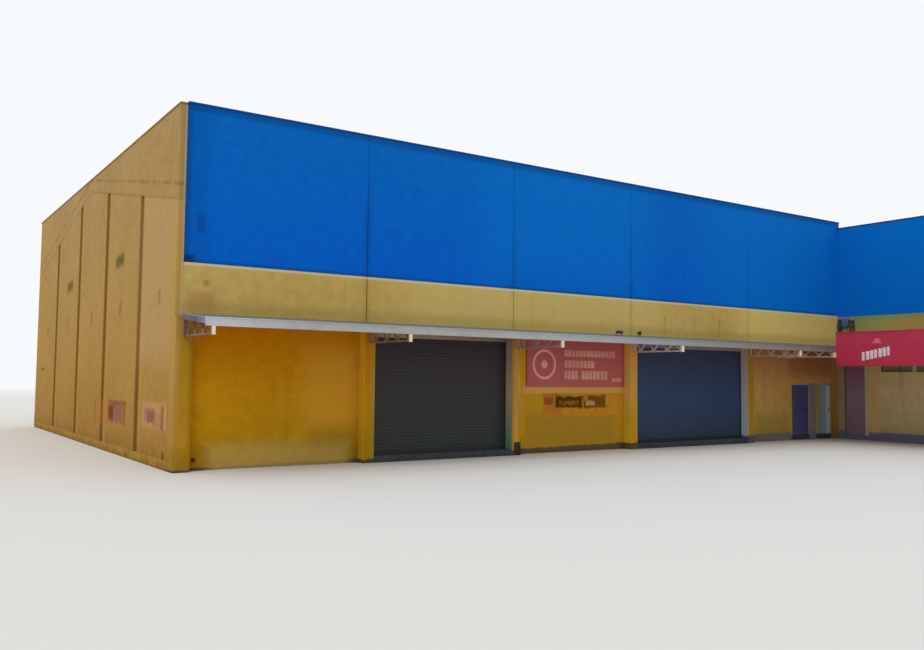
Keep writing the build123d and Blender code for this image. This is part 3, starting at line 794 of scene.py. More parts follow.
def column_faces(color, x, y, z):
    """Tan corner like the side wall, and pale grey jambs beside the shutters."""
    tan = blend_colors(z, [(0.3, "AA7E36"), (3.0, "B48E48"), (9.0, "BE985E")])
    corner = most(most(remap(x, 0.17, 0.02), remap(z, 3.3, 3.8)), remap(x, 0.012, 0.008))
    color = lay_marks(mix(corner * remap(x, 0.6, 0.5), color, tan), column_marks, "X")
    for left, right, stops in column_tones:
        inside = remap(x, left - 0.004, left + 0.004, 0.0, 0.88) * remap(x, right + 0.004, right - 0.004)
        color = mix(inside, color, blend_colors(z, stops))
    for (left, jamb), stops in zip(shutter_bays, jamb_tones):
        color = mix(remap(abs(x - jamb), 0.006, 0.003), color, blend_colors(z, stops))
    return dark_foot(corner_edge(color, x, y, z), x, y, z)


wall_finish("Column paint", "AC801E", "B48828", (0.5, 0.6, 0.16, 0.7, 0.35), 0, extra=column_faces)

door_bay_marks = [
    (26.9, 3.3, 1.3, 0.4, "A06040", 0.5, 0.5, 0.4),
    (24.2, 0.55, 0.8, 0.25, "8C7A28", 0.45, 0.5, 0.4),
    (26.93, 1.25, 0.22, 1.1, "827A86", 0.85, 0.05, 0.03),
    (28.3, 1.25, 0.09, 1.1, "908484", 0.8, 0.05, 0.03),
]
wall_finish(
    "Door bay paint",
    [(0.3, "BE9A4A"), (1.8, "CC9C58"), (2.5, "CE9656"), (3.7, "BA784E")],
    [(0.3, "B49242"), (2.2, "CEA262"), (3.7, "C08456")],
    (0.5, 0.6, 0.2, 0.8, 0.35),
    0.2,
    marks=door_bay_marks,
    extra=dark_foot,
)

# Wing and rear


def wing_zones(color, x, y, z):
    """Painted shade in a browner inner corner, and an olive band over the canopy; the wall under the canopy
    keeps paler paint, painted light that offsets the canopy's shade.
    """
    front = remap(x, 28.36, 28.345)
    color = mix(remap(y, -0.34, -0.26) * front, color, "B29274")
    band = blend_colors(y, [(-6.0, "B2924E"), (-3.2, "B0934C"), (-2.0, "A39D52"), (-0.8, "988E62")])
    return dark_foot(mix(remap(z, 3.5, 3.9) * front, color, band), x, y, z)


def inner_corner(color, x, y, z):
    """The hall's end wall is blue where it rises over the wing at the front."""
    over = remap(z, 9.0, 9.02) * remap(y, 0.62, 0.6)
    front = remap(y, 0.012, 0.008) * remap(z, 5.2, 5.22)
    return mix(most(over, front), color, blue_high)


# An orange strip beside the service door and a green line under the blue panels
wing_marks = [
    (-1.6, 1.9, 0.08, 1.42, "E6B67A", 0.7, 0.26, 0.06),
    (-5.0, 5.14, 5.6, 0.05, "608C6C", 0.4, 0.1, 0.08),
]
wall_finish(
    "Wing wall paint and painted light",
    [(0.3, "C4AE80"), (2.0, "DEC48E"), (3.2, "EACA8E")],
    [(0.3, "BEAC76"), (2.0, "DEC68E"), (3.2, "E8C682")],
    (0.5, 0.6, 0.22, 0.8, 0.35),
    0.2,
    marks=wing_marks,
    along="Y",
    extra=wing_zones,
)
rear_paint = [(0.3, "A87E3C"), (3.0, "B08A4A"), (9.0, "B69258")]
rear_wear = (0.35, 0.6, 0.35, 1.0, 0.5)
wall_finish("Rear wall paint", rear_paint, side_faded, rear_wear)
wall_finish("Hall end wall paint", rear_paint, side_faded, rear_wear, extra=inner_corner)
wall_finish("Bare concrete", "96948E", "A6A39C", (0.8, 0.6, 0.15, 0.1, 0.0), 0, "625E58")
# The thresholds are painted dark blue-grey: painted shade of the ground at the foot of the shutters and doors
wall_finish("Threshold in painted shade", "3E444A", "484C50", (0.9, 0.6, 0.1, 0.12, 0.5), 0, "363638")


def roof_finish(name, node, run, fall):
    """Fibre cement sheets, no two the same grey, with dirt in their waves and lichen in patches."""
    tree, shader = new_material(name, specular=0.08)
    low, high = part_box(node)
    pitch = (high[run] - low[run]) / round((high[run] - low[run]) / wave_pitch)
    place, axes = object_place(tree), object_axes(tree)
    over, down = axes[run] - low[run], axes[fall] - low[fall]
    column = calc("FLOOR", over / roof_sheet_width)
    course = calc("FLOOR", down / ((high[fall] - low[fall]) / roof_courses))
    sheet = {"Vector": field(tree, "CombineXYZ", (column, course))}
    chance = field(tree, "TexWhiteNoise", sheet, "Value", noise_dimensions="2D")
    color = mix(chance, "7F7E78", "8F8D87")
    scale = [1.0, 1.0, 1.0]
    scale[run], scale[fall] = 2.4, 0.14
    runs = remap(noise(stretch(place, scale), 1.0, 5, 0.65), 0.46, 0.74)
    color = mix(runs * 0.5, color, "54524A")
    fine = noise(place, 14, 4, 0.6)
    lichen = remap(noise(place, 0.5, 5, 0.65), 0.5, 0.68) * remap(fine, 0.42, 0.6)
    color = mix(lichen * 0.4, color, "62624A")
    wave = calc("COSINE", over * (2 * math.pi / pitch))
    color = mix(remap(wave, 0.2, 1.0, 0.0, 0.45), color, "424038")
    finish_surface(shader, color, remap(fine, 0.3, 0.7, 0.82, 0.95), fine, 0.4)


roof_finish("Fibre cement roof", "roof_sheets_front", 0, 1)
roof_finish("Fibre cement wing roof", "wing_roof_sheets", 1, 0)

# Metal, board and glass


def coping_zones(color, x, y, z):
    """Parapet capping painted with the wall it stands on: tan on the side, blue on both fronts."""
    wing = remap(x, 28.3, 28.31) * remap(y, 0.02, 0.01)
    blue = most(remap(y, 0.16, 0.15) * remap(x, 0.14, 0.16), wing)
    return mix(blue, mix(remap(x, 0.155, 0.145), color, "8A6C38"), "023E7A")


def bracket_plates(color, x, y, z):
    """The brackets' end plates are cream, their side edges left in the bracket's darker colour as painted
    shade.
    """
    plate = remap(y, -2.185, -2.195) * remap(nearest_line(x, bracket_lines), 0.05, 0.043)
    return mix(plate, color, "DED2B8")


fascia_stops = [(0.4, "BEC2C4"), (3.0, "A8A9A8"), (11.0, "A4A7A5"), (14.5, "9698A4"), (17.5, "8C8886")]
fascia_stops += [(22.4, "786E66"), (24.3, "68605A")]
bracket_stops = [(0.2, "74584C"), (5.48, "9C7E62"), (10.75, "B8A298")]
bracket_stops += [(15.98, "E2D0BA"), (22.41, "E8C6AC"), (24.6, "F0D6C8")]
# The end strip is pale steel seen in shade; its dark violet, darkest in the middle, is painted shade
end_stops = [(-2.2, "808694"), (-1.9, "62607A"), (-1.5, "3A3456"), (-1.1, "463850"), (-0.4, "684E46")]
pelmet_stops = [(5.7, "AC9470"), (7.9, "A68C6A"), (8.6, "987E74"), (10.5, "88726A")]
pelmet_stops += [(16.2, "68626E"), (19.0, "94898D"), (22.2, "968A8E")]
left_door_stops = [(25.5, "604854"), (25.8, "484E7C"), (26.6, "464488")]
# Painted reflections on the right door: an olive band at its left edge and pale grey at its right, over its
# pale blue paint
right_door_stops = [(27.3, "A0984A"), (27.48, "949874"), (27.6, "889EB2")]
right_door_stops += [(27.85, "8CA6C8"), (27.93, "CED0D6"), (28.15, "CECECC")]
left_shutter_stops = [(0.3, "262E2E"), (1.8, "2E2B2E"), (3.6, "342630")]
right_shutter_stops = [(0.3, "283A52"), (1.8, "2B446B"), (3.6, "363C5A")]
# The service door's top turns redder: painted shade under the red fascia
service_stops = [(0.3, "8E767C"), (1.8, "9C828C"), (3.0, "9E6882")]
board_stops = [(2.2, "BE5A56"), (3.0, "C25A56"), (3.6, "BE5654")]
sealant_stops = [(5.2, "544A26"), (5.3, "023470"), (6.8, "023C7C"), (8.4, "0468C8")]

metal_finish("Coping paint", "7E8284", dust_grey, (0.4, 0.2, 0.5), extra=coping_zones, specular=0.3)
metal_finish("Galvanised sheet", "808486", dust_grey, (0.35, 0.25, 0.42), 0.6)
metal_finish("Flashing", "606A70", dust_grey, (0.3, 0.2, 0.45), 0.3)
metal_finish("Canopy fascia paint", fascia_stops, "8C8276", (0.25, 0.15, 0.45), along="X")
metal_finish("Bracket paint", bracket_stops, "705846", (0.3, 0.4, 0.5), along="X", extra=bracket_plates)
metal_finish("Canopy end strip painted shade", end_stops, "605658", (0.15, 0.3, 0.5), along="Y")
metal_finish("Shutter pelmet paint", pelmet_stops, "847464", (0.3, 0.2, 0.5), along="X")
metal_finish("Left door paint", left_door_stops, "42425C", (0.25, 0.08, 0.4), along="X")
metal_finish("Right door paint and reflections", right_door_stops, "828A90", (0.25, 0.08, 0.45), along="X")
wing_red_stops = [(24.6, "B42C46"), (28.4, "A8243A")]
metal_finish("Wing fascia red", wing_red_stops, "BC4654", (0.25, 0.08, 0.45), along="X")
for name, fresh, dust, *wear in (
    ("Left shutter paint", left_shutter_stops, "3A3638", 0.25, 0.06, 0.5),
    ("Right shutter paint", right_shutter_stops, "323A46", 0.25, 0.06, 0.5),
    ("Service door paint", service_stops, "78686E", 0.25, 0.08, 0.5),
    ("Service door frame", "70585C", "7C686A", 0.3, 0.15, 0.45),
    ("Red board", board_stops, "B05C54", 0.35, 0.08, 0.5),
    ("Joint sealant", sealant_stops, "3C4646", 0.1, 0.0, 0.8),
    ("Wing arm paint", "7A6254", "5C4636", 0.45, 0.5, 0.5),
    ("Dark metal", "222224", "3C3A36", 0.3, 0.15, 0.45),
    ("Guard paint", "1C2016", "343628", 0.3, 0.2, 0.5),
    ("Tan trim", "D2BCA2", "BAA68A", 0.3, 0.1, 0.5),
    ("Door frame paint", "AC9880", "98846C", 0.3, 0.1, 0.5),
    ("Worn pink sheet", "E6A28E", "CC7A6E", 0.7, 0.04, 0.5),
    ("Pale pink sheet", "EEA69E", "E0928A", 0.4, 0.04, 0.5),
    ("White sheet", "E2CED2", "CEA0AC", 0.4, 0.05, 0.5),
    ("Faint pink sheet", "CE6E84", "BE5468", 0.5, 0.05, 0.5),
    ("Pipe paint", "283630", "3E463A", 0.3, 0.15, 0.5),
    ("Sensor housing", "5C4232", "6E5442", 0.3, 0.15, 0.5),
    ("Slate box paint", "3A6888", "547488", 0.3, 0.1, 0.45),
    ("Window frame", "68623E", "7A7250", 0.3, 0.1, 0.5),
):
    metal_finish(name, fresh, dust, wear)


def glass_finish():
    """Brown tinted window glass, dusty in patches."""
    tree, shader = new_material("Window glass")
    place = object_place(tree)
    color = mix(remap(noise(place, 2.2, 4), 0.4, 0.75, 0.0, 0.5), "98826C", "AC967E")
    rough = remap(noise(place, 5, 3), 0.3, 0.7, 0.1, 0.26)
    finish_surface(shader, color, rough, noise(place, 1.4, 2), 0.05, 0.002)


glass_finish()

banner_orange, banner_dark = "CC8A22", "3E240E"
banner_marks = [
    (12.5, 1.6, 0.35, 0.3, "B4682E", 0.5, 0.3, 0.3),
    (12.36, 1.7, 0.14, 0.08, "963C1E", 0.7, 0.08, 0.25),
    (13.25, 1.66, 0.55, 0.15, banner_dark, 0.9, 0.08, 0.25),
    (13.25, 1.63, 0.4, 0.04, banner_orange, 0.5, 0.07, 0.2, 0.0, 0.6),
    (14.42, 1.66, 0.46, 0.16, banner_dark, 0.74, 0.1, 0.3),
    (14.22, 1.62, 0.17, 0.05, "D6A262", 0.85, 0.06, 0.15),
    (14.02, 1.78, 0.06, 0.05, banner_orange, 0.8, 0.06, 0.2),
]
wall_finish("Faded banner", banner_orange, "D0922C", (1.5, 0.8, 0.1, 0.1, 0.0), 0, marks=banner_marks)

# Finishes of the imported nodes

finish_nodes = {
    "Column paint": "front_columns",
    "Lower wall paint and painted light": "front_lintels front_wall_bays",
    "Door bay paint": "door_bay_piers door_bay_wall_over",
    "Band paint": "front_band_panels",
    "Blue wall paint": "front_blue_panels wing_blue_panels",
    "Side wall paint": "left_wall_bays",
    "Side groove paint": "left_wall_columns",
    "Side parapet paint": "left_parapet",
    "Rear wall paint": "back_wall_bays back_wall_columns back_parapet wing_side_wall wing_back_wall",
    "Hall end wall paint": "right_wall",
    "Bare concrete": "hall_floor roof_rafters roof_purlins wing_floor wing_roof_joists",
    "Threshold in painted shade": "door_thresholds",
    "Galvanised sheet": "roof_gutters canopy_deck roller_housings wing_canopy_deck",
    "Fibre cement roof": "roof_sheets_front roof_sheets_back wing_roof_sheets",
    "Coping paint": "parapet_copings",
    "Canopy fascia paint": "canopy_fascia",
    "Bracket paint": "canopy_brackets",
    "Left shutter paint": "roller_curtains",
    "Dark metal": "roller_bottom_bars roller_guides",
    "Door frame paint": "door_jambs door_heads",
    "Left door paint": "door_leaf_left",
    "Right door paint and reflections": "door_leaf_right",
    "Red board": "sign_board",
    "Wing wall paint and painted light": "wing_facade_wall wing_end_wall",
    "Service door paint": "wing_service_door",
    "Window glass": "wing_ribbon_windows",
    "Wing fascia red": "wing_fascia",
    "Wing arm paint": "wing_canopy_arms",
}
for finish, names in finish_nodes.items():
    for node in (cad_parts[name] for name in names.split()):
        if not node.material_slots:
            node.data.materials.append(bpy.data.materials[finish])
        for material_slot in node.material_slots:
            material_slot.material = bpy.data.materials[finish]

# Roller shutters


def roller_curtain(side, bay):
    """A curtain of rounded slats between the guides, in place of the plain sheet."""
    low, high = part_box("roller_curtains")
    count = round((high.z - low.z) / slat_pitch)
    pitch = (high.z - low.z) / count
    slat = block((bay[0] + slat_end_gap, low.y, low.z), (bay[1] - slat_end_gap, high.y, low.z + pitch))
    front, rounding = low.y + near_enough, bevel(slat_edge_round, 3)
    on_edges(slat, lambda a, b: max(a.y, b.y) < front and abs(a.z - b.z) < near_enough, rounding)
    repeat(slat, count, (0, 0, pitch))
    curtain = build(f"{side}_shutter_curtain", [slat], f"{side.title()} shutter paint")
    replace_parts(curtain, "roller_curtains")


def shutter_lock(side, bay):
    """Lock plate and pull handle in the middle of a shutter's bottom bar."""
    low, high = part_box("roller_bottom_bars")
    middle, level = (bay[0] + bay[1]) / 2, high.z - 0.015
    plate = block((middle - 0.09, low.y - 0.006, high.z - 0.06), (middle + 0.09, low.y, high.z + 0.03))
    on_faces(plate, facing("-y"), inset(0.008, -0.002))
    parts = [plate, rod((middle, low.y - 0.03, level), 0.007, 0.11, turn_to_x, 16)]
    for foot in (middle - 0.05, middle + 0.05):
        parts.append(rod((foot, low.y - 0.017, level), 0.006, 0.03, turn_to_y, 12))
    build(f"{side}_shutter_lock", parts, "Dark metal", 0.0015)


def shutter_pelmet(side, bay):
    """A folded cover under the lintel, in front of the curtain's top."""
    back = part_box("roller_curtains")[0].y - pelmet_gap
    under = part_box("front_lintels")[0].z
    cover = block((bay[0], back - pelmet_depth, under - pelmet_drop), (bay[1], back, under))
    on_faces(cover, facing("+y"), inset(pelmet_skin, pelmet_skin - pelmet_depth))
    build(f"{side}_shutter_pelmet", [cover], "Shutter pelmet paint", 0.003)


for side, bay in zip(("left", "right"), shutter_bays):
    roller_curtain(side, bay)
    shutter_pelmet(side, bay)
    shutter_lock(side, bay)

# Joints between the face panels, and the foot of the side wall


def joint_seals():
    """Sealant set back in the joints between the front's panels and between the wing's."""
    low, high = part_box("front_band_panels")[0].z + seal_end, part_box("front_blue_panels")[1].z - seal_end
    seals = [
        block((x - seal_half_width, seal_setback, low), (x + seal_half_width, seal_depth, high))
        for x in panel_joints
    ]
    low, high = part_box("wing_blue_panels")
    near, far = -wing_bay_length - seal_half_width, -wing_bay_length + seal_half_width
    front, back = (low.x + seal_setback, near, low.z + seal_end), (low.x + seal_depth, far, high.z - seal_end)
    build("panel_joint_seals", [*seals, block(front, back)], "Joint sealant", 0.001, 1)


def side_plinth():
    """A rendered plinth along the foot of the side wall, its top edge sloped off."""
    low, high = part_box("left_wall_bays")
    plinth = block((low.x - plinth_stand, low.y, 0.0), (low.x + plinth_depth, high.y, plinth_height))
    top, slope = plinth_height - near_enough, bevel(plinth_stand * 0.8, 2)
    on_edges(plinth, lambda a, b: max(a.x, b.x) < low.x and min(a.z, b.z) > top, slope)
    build("side_plinth", [plinth], "Side plinth paint")


joint_seals()
side_plinth()

# Roofs


def wave_course(run, length, heights, turned):
    """One course of corrugated sheets; its waves run up the slope."""
    if turned:
        run, length = (-length[1], -length[0]), run
    count = round((run[1] - run[0]) / wave_pitch)
    pitch = (run[1] - run[0]) / count
    piece = strip((run[0], length[0], heights[0]), (run[0] + pitch, length[1], heights[0]), wave_steps)
    for i in range(wave_steps + 1):
        lift = wave_height * (1 - math.cos(2 * math.pi * i / wave_steps)) / 2
        near = run[0] + pitch * i / wave_steps
        on_points(piece, lambda co: abs(co.x - near) < pitch / wave_steps / 4, move(0, 0, lift))
    on_points(piece, lambda co: abs(co.y - length[1]) < near_enough, move(0, 0, heights[1] - heights[0]))
    repeat(piece, count, (pitch, 0, 0), merge=True)
    thicken(piece, sheet_skin)
    if turned:
        piece.matrix_world = Matrix.Rotation(-math.pi / 2, 4, "Z")
        settle(piece)
    return piece


def roof_waves(node, finish):
    """Lapped courses of corrugated sheets in place of a flat roof plate."""
    low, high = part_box(node)
    turned, rises = node == "wing_roof_sheets", node == "roof_sheets_front"
    box_x, box_y = (low.x, high.x), (low.y, high.y)
    start, end = box_x if turned else box_y
    bottom, top = (z - wave_height - wave_clear for z in (low.z + roof_plate, high.z))
    rate, step = (top - bottom) / (end - start), (end - start) / roof_courses
    courses = []
    for i in range(roof_courses):
        near, far = start + i * step, start + (i + 1) * step
        if rises:
            far = min(far + sheet_lap, end)
            heights = (bottom + (near - start) * rate + lap_lift, bottom + (far - start) * rate)
        else:
            near = max(near - sheet_lap, start)
            heights = (top - (near - start) * rate, top - (far - start) * rate + lap_lift)
        spans = ((near, far), box_y) if turned else (box_x, (near, far))
        courses.append(wave_course(*spans, heights, turned))
    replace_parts(build(node.replace("sheets", "waves"), courses, finish), node)


def ridge_cap():
    """Bent capping over the ridge, rounded along its fold."""
    low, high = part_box("roof_sheets_front")
    bottom, sides = high.z + 0.01, (ridge_y - ridge_reach, ridge_y + ridge_reach)
    cap = block((low.x, sides[0], bottom), (high.x, sides[1], bottom + ridge_skin))
    cut(cap, 1, ridge_y)
    for y in sides:
        on_points(cap, lambda co: abs(co.y - y) < near_enough, move(0, 0, -ridge_reach * roof_slope))
    on_edges(
        cap,
        lambda a, b: max(abs(a.y - ridge_y), abs(b.y - ridge_y), abs(a.z - b.z)) < near_enough,
        bevel(ridge_round, 5),
    )
    build("ridge_cap", [cap], "Fibre cement roof")


roof_waves("roof_sheets_front", "Fibre cement roof")
roof_waves("roof_sheets_back", "Fibre cement roof")
roof_waves("wing_roof_sheets", "Fibre cement wing roof")
ridge_cap()

# Canopy

deck_low, deck_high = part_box("canopy_deck")
deck_fall = deck_high.z - deck_low.z - roof_plate


def ribbed_sheet(node, start_z, end_z):
    """A sheet with trapezoid ribs that run from the wall to the fascia."""
    low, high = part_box(node)
    count = round((high.x - low.x) / rib_pitch)
    pitch = (high.x - low.x) / count
    sheet = strip((low.x, low.y, start_z), (low.x + pitch, high.y, start_z), 5)
    rib_start = (pitch - rib_top_width - 2 * rib_side_width) / 2
    rib_end = pitch - rib_start
    places = (0, rib_start, rib_start + rib_side_width, rib_end - rib_side_width, rib_end, pitch)
    lifts = (0, 0, rib_height, rib_height, 0, 0)
    for i in reversed(range(6)):
        even = low.x + pitch * i / 5
        on_points(sheet, lambda co: abs(co.x - even) < 0.002, move(low.x + places[i] - even, 0, lifts[i]))
    on_points(sheet, lambda co: co.y > high.y - near_enough, move(0, 0, end_z - start_z))
    repeat(sheet, count, (pitch, 0, 0), merge=True)
    thicken(sheet, deck_skin)
    name = node.replace("deck", "ribbed_sheet")
    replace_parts(build(name, [sheet], "Galvanised sheet"), node)


def canopy_front():
    """The pale fascia: a folded channel with cover strips, and the flashing on its top edge."""
    low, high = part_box("canopy_fascia")
    top = high.z - flashing_height
    channel = block(low, (high.x, high.y, top))
    on_faces(channel, facing("-y"), inset(fascia_lip), extrude(0, fascia_recess, 0))
    parts = [channel]
    for i in range(int((high.x - low.x) // fascia_joint_every)):
        x = low.x + (i + 1) * fascia_joint_every
        end = (x + fascia_joint_width, low.y + fascia_recess, top - 0.004)
        parts.append(block((x, low.y + 0.002, low.z + 0.004), end))
    fascia = build("canopy_fascia_channel", parts, "Canopy fascia paint", 0.003)
    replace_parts(fascia, "canopy_fascia")
    flashing = block((low.x, low.y + 0.008, top), high)
    front, upper = low.y + 0.01, high.z - near_enough
    on_edges(flashing, lambda a, b: max(a.y, b.y) < front and min(a.z, b.z) > upper, bevel(0.01, 3))
    build("canopy_flashing", [flashing], "Flashing")


def canopy_end_strip():
    """A folded strip that closes the free end of the canopy's sheet."""
    low, thick = deck_low, end_strip_skin
    piece = block((low.x, low.y, low.z - end_strip_height), (low.x + thick, end_strip_stop, low.z + thick))
    rise = deck_fall * (1 - end_strip_stop / low.y)
    on_points(piece, lambda co: co.y > end_strip_stop - 0.01, move(0, 0, rise))
    on_faces(piece, facing("-x"), inset(0.014, -0.003))
    build("canopy_end_strip", [piece], "Canopy end strip painted shade", 0.0015)


def bracket_gussets():
    """Small plates on both sides of the brackets, where their zigzag bars meet the chords."""
    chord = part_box("canopy_brackets")[0].z + plate_drop + bracket_bar
    step = (deck_low.y + bracket_bar) / bracket_panels
    plates = []
    for i in range(1, bracket_panels):
        y, at_top = i * step - bracket_bar / 2, i % 2 == 0
        under = deck_low.z + deck_fall * (1 - y / deck_low.y) - bracket_bar
        bottom = under - gusset_height if at_top else chord - gusset_lap
        top = under + gusset_lap if at_top else chord + gusset_height
        for side in (-1, 1):
            faces = [bracket_lines[0] + side * (gusset_offset + skin) for skin in (0, gusset_skin)]
            plate = block((min(faces), y - gusset_foot / 2, bottom), (max(faces), y + gusset_foot / 2, top))
            on_points(plate, lambda co: (co.z < bottom + near_enough) == at_top, resize(1, 0.5, 1))
            plates.append(plate)
    rows = [soften(join(plates), 0.001)]
    for line in bracket_lines[1:]:
        select_only(rows[0])
        bpy.ops.object.duplicate()
        bpy.context.object.location.x = line - bracket_lines[0]
        rows.append(settle(bpy.context.object))
    build("bracket_gussets", rows, "Bracket paint")


def floodlight(name, foot, turn, width, height, depth):
    """A small floodlight: tapered body with a set-back face, on a stirrup with a foot plate."""
    body = block((-width / 2, -depth / 2, lamp_foot), (width / 2, depth / 2, lamp_foot + height))
    on_faces(body, facing("+y"), resize(0.62, 1, 0.55))
    on_faces(body, facing("-y"), inset(0.012, -0.006))
    parts = [body]
    for x in (-width / 2 - 0.006, width / 2 + 0.006):
        parts.append(block((x - 0.004, -0.014, 0), (x + 0.004, 0.014, lamp_foot + height / 2 + 0.02)))
    edge = width / 2 + 0.01
    parts.append(block((-edge, -0.014, 0), (edge, 0.014, 0.008)))
    lamp = soften(join(parts), 0.002)
    lamp.matrix_world = Matrix.Translation(foot) @ Matrix.Rotation(math.radians(turn), 4, "Z")
    build(name, [settle(lamp)], "Dark metal")


ribbed_sheet("canopy_deck", deck_low.z + deck_lift, deck_high.z - roof_plate + deck_lift)
wing_deck_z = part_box("wing_canopy_deck")[0].z + deck_lift
ribbed_sheet("wing_canopy_deck", wing_deck_z, wing_deck_z)
canopy_front()
canopy_end_strip()
bracket_gussets()
fascia_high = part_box("canopy_fascia")[1]
floodlight("canopy_lamp_left", (13.08, fascia_high.y - 0.03, fascia_high.z), 0, 0.25, 0.1, 0.09)
floodlight("canopy_lamp_right", (13.97, fascia_high.y - 0.03, fascia_high.z), 20, 0.12, 0.12, 0.1)

# Signboard and banner


def signboard():
    """A border round the signboard, a plain ring with a dot, and rows of plain blocks."""
    low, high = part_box("sign_board")
    rim = block((low.x, low.y - 0.006, low.z), (high.x, low.y, high.z))
    on_faces(rim, facing("+-y"), inset(board_edge), bridge)
    build("sign_rim", [rim], "Red board", 0.0015)
    middle = (ring_x, low.y - thin_sheet / 2, ring_z)
    ring = rod(middle, ring_outer, thin_sheet, turn_to_y, 64)
    on_faces(ring, facing("+-y"), inset(ring_band), bridge)
    dot = rod(middle, dot_radius, thin_sheet, turn_to_y, 32)
    build("sign_ring", [ring, dot], "Pale pink sheet", 0.001)
    bars = []
    for left, right, bottom, top, count in sign_rows:
        step = (right - left) / count
        first = block((left, low.y - thin_sheet, bottom), (left + step - sign_gap, low.y, top))
        bars.append(repeat(first, count, (step, 0, 0)))
    build("sign_bars", bars, "Worn pink sheet", 0.0012)


def lower_banner():
    """A worn banner fixed to the wall under the signboard, its hem folded over."""
    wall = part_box("front_wall_bays")[0].y
    sheet = block((banner_x[0], wall - banner_skin, banner_z[0]), (banner_x[1], wall, banner_z[1]))
    on_faces(sheet, facing("-y"), inset(banner_hem, -0.002))
    build("lower_banner", [sheet], "Faded banner", 0.001)


signboard()
lower_banner()

# Wing

wall_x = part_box("wing_facade_wall")[0].x


def fascia_edges():
    """Angle trims along the top and bottom of the wing's red fascia, and its seams."""
    low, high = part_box("wing_fascia")
    trims = [
        block((low.x - trim_stand, low.y, bottom), (low.x, high.y, bottom + trim_width))
        for bottom in (low.z, high.z - trim_width)
    ]
    for share in (1, 2):
        y = high.y - share * (high.y - low.y) / 3
        start = (low.x - seam_stand, y - seam_half, low.z + trim_width)
        trims.append(block(start, (low.x, y + seam_half, high.z - trim_width)))
    build("wing_fascia_edges", trims, "Wing fascia red", 0.002)


def fascia_mark():
    """A plain rising group of bars on the red fascia under a plain crest, nothing to read."""
    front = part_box("wing_fascia")[0].x
    face = front - thin_sheet
    step = (mark_y[1] - mark_y[0]) / mark_bars
    bars = []
    for i in range(mark_bars):
        near = mark_y[0] + i * step
        far = near + step * (0.8 if i % 3 else 0.66)
        rise = mark_rise * (mark_y[0] - near)
        bars.append(block((face, far, mark_z[0] + rise), (front, near, mark_z[1] + rise)))
    build("fascia_mark", bars, "White sheet", 0.001)
    crest = block((face, crest_y[0], crest_z[0]), (front, crest_y[1], crest_z[1]))
    on_faces(crest, facing("+z"), resize(1, 0.35, 1))
    build("fascia_crest", [crest], "Faint pink sheet", 0.001)


def service_door_frame():
    """The steel frame round the service door, with a tall panel over its head, and a strip beside it."""
    low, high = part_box("wing_service_door")
    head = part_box("wing_fascia")[0].z + frame_over
    side, post = low.y - frame_side, high.y - frame_post
    trim = block((wall_x - trim_stand, side, low.z), (wall_x, high.y, head))
    for axis, level in ((1, low.y), (1, post), (2, high.z)):
        cut(trim, axis, level)
    on_faces(trim, lambda c, n: abs(n.x) > 0.9 and low.y < c.y < post and c.z < high.z, bridge)
    build("service_door_frame", [trim], "Service door frame", 0.002)
    piece = block((wall_x - 0.02, side - strip_width, low.z), (wall_x, side, head))
    on_faces(piece, facing("-x"), inset(0.02, -0.006))
    build("service_door_strip", [piece], "Tan trim", 0.002)


def window_frames():
    """Outer frames and upright bars for the ribbon windows, one bar of each wide and pale."""
    low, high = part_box("wing_ribbon_windows")
    bars, piers = [], []
    for start, end in ribbon_openings:
        rim = block((low.x - rim_stand, start, low.z), (low.x - 0.002, end, high.z))
        on_faces(rim, facing("+-x"), inset(window_bar), bridge)
        bars.append(rim)
        for share in (*mullion_shares, pier_share):
            wide = share == pier_share
            width, stand = (window_pier, pier_stand) if wide else (window_bar, bar_stand)
            gap = 0.01 if wide else window_bar
            near = end + (start - end) * share - width / 2
            bar = block((low.x - stand, near, low.z + gap), (low.x - 0.004, near + width, high.z - gap))
            (piers if wide else bars).append(bar)
    build("ribbon_window_frames", bars, "Window frame", 0.002)
    build("ribbon_window_piers", piers, "Tan trim", 0.003)


def corner_downpipe():
    """A square pipe that leaves the wall below the blue panels and drops on to the canopy."""
    bottom, shoe = deck_high.z + 0.05, pipe_top - pipe_shoe
    back, front = (wall_x - stand for stand in pipe_stand)
    pipe = block((front, pipe_y[0], bottom), (back, pipe_y[1], pipe_top))
    cut(pipe, 2, shoe)
    on_faces(pipe, lambda c, n: n.x > 0.9 and c.z > shoe, extrude(0.02, 0, 0))
    on_faces(pipe, lambda c, n: n.z < -0.9 and c.z < bottom + 0.01, inset(0.006, -0.03))
    low, high = (front - strap_skin, pipe_y[0] - strap_foot), (wall_x, pipe_y[1] + strap_foot)
    straps = [block((*low, z), (*high, z + strap_height)) for z in strap_levels]
    build("corner_downpipe", [pipe, *straps], "Pipe paint", 0.004)


def corner_box():
    """A slate blue box with a raised lid, and the plate, arm and sensor of the corner lamp."""
    box = block((wall_x - box_depth, box_y[0], box_z[0]), (wall_x, box_y[1], box_z[1]))
    on_faces(box, facing("-x"), inset(0.015), extrude(-0.012, 0, 0))
    build("wall_box", [box], "Slate box paint", 0.004)
    floodlight("corner_lamp", (wall_x - 0.15, -0.72, 4.8), -62, 0.25, 0.2, 0.14)
    plate = block((wall_x - 0.01, -0.8, 4.56), (wall_x, -0.6, 4.82))
    arm = block((wall_x - 0.2, -0.74, 4.77), (wall_x - 0.01, -0.7, 4.8))
    sensor = block((wall_x - 0.1, -0.78, 4.57), (wall_x - 0.01, -0.62, 4.75))
    on_faces(sensor, facing("-x"), inset(0.02, 0.012))
    build("lamp_arm", [plate, arm, sensor], "Sensor housing", 0.003)


fascia_edges()
fascia_mark()
service_door_frame()
window_frames()
corner_downpipe()
corner_box()

# Doors and column foot


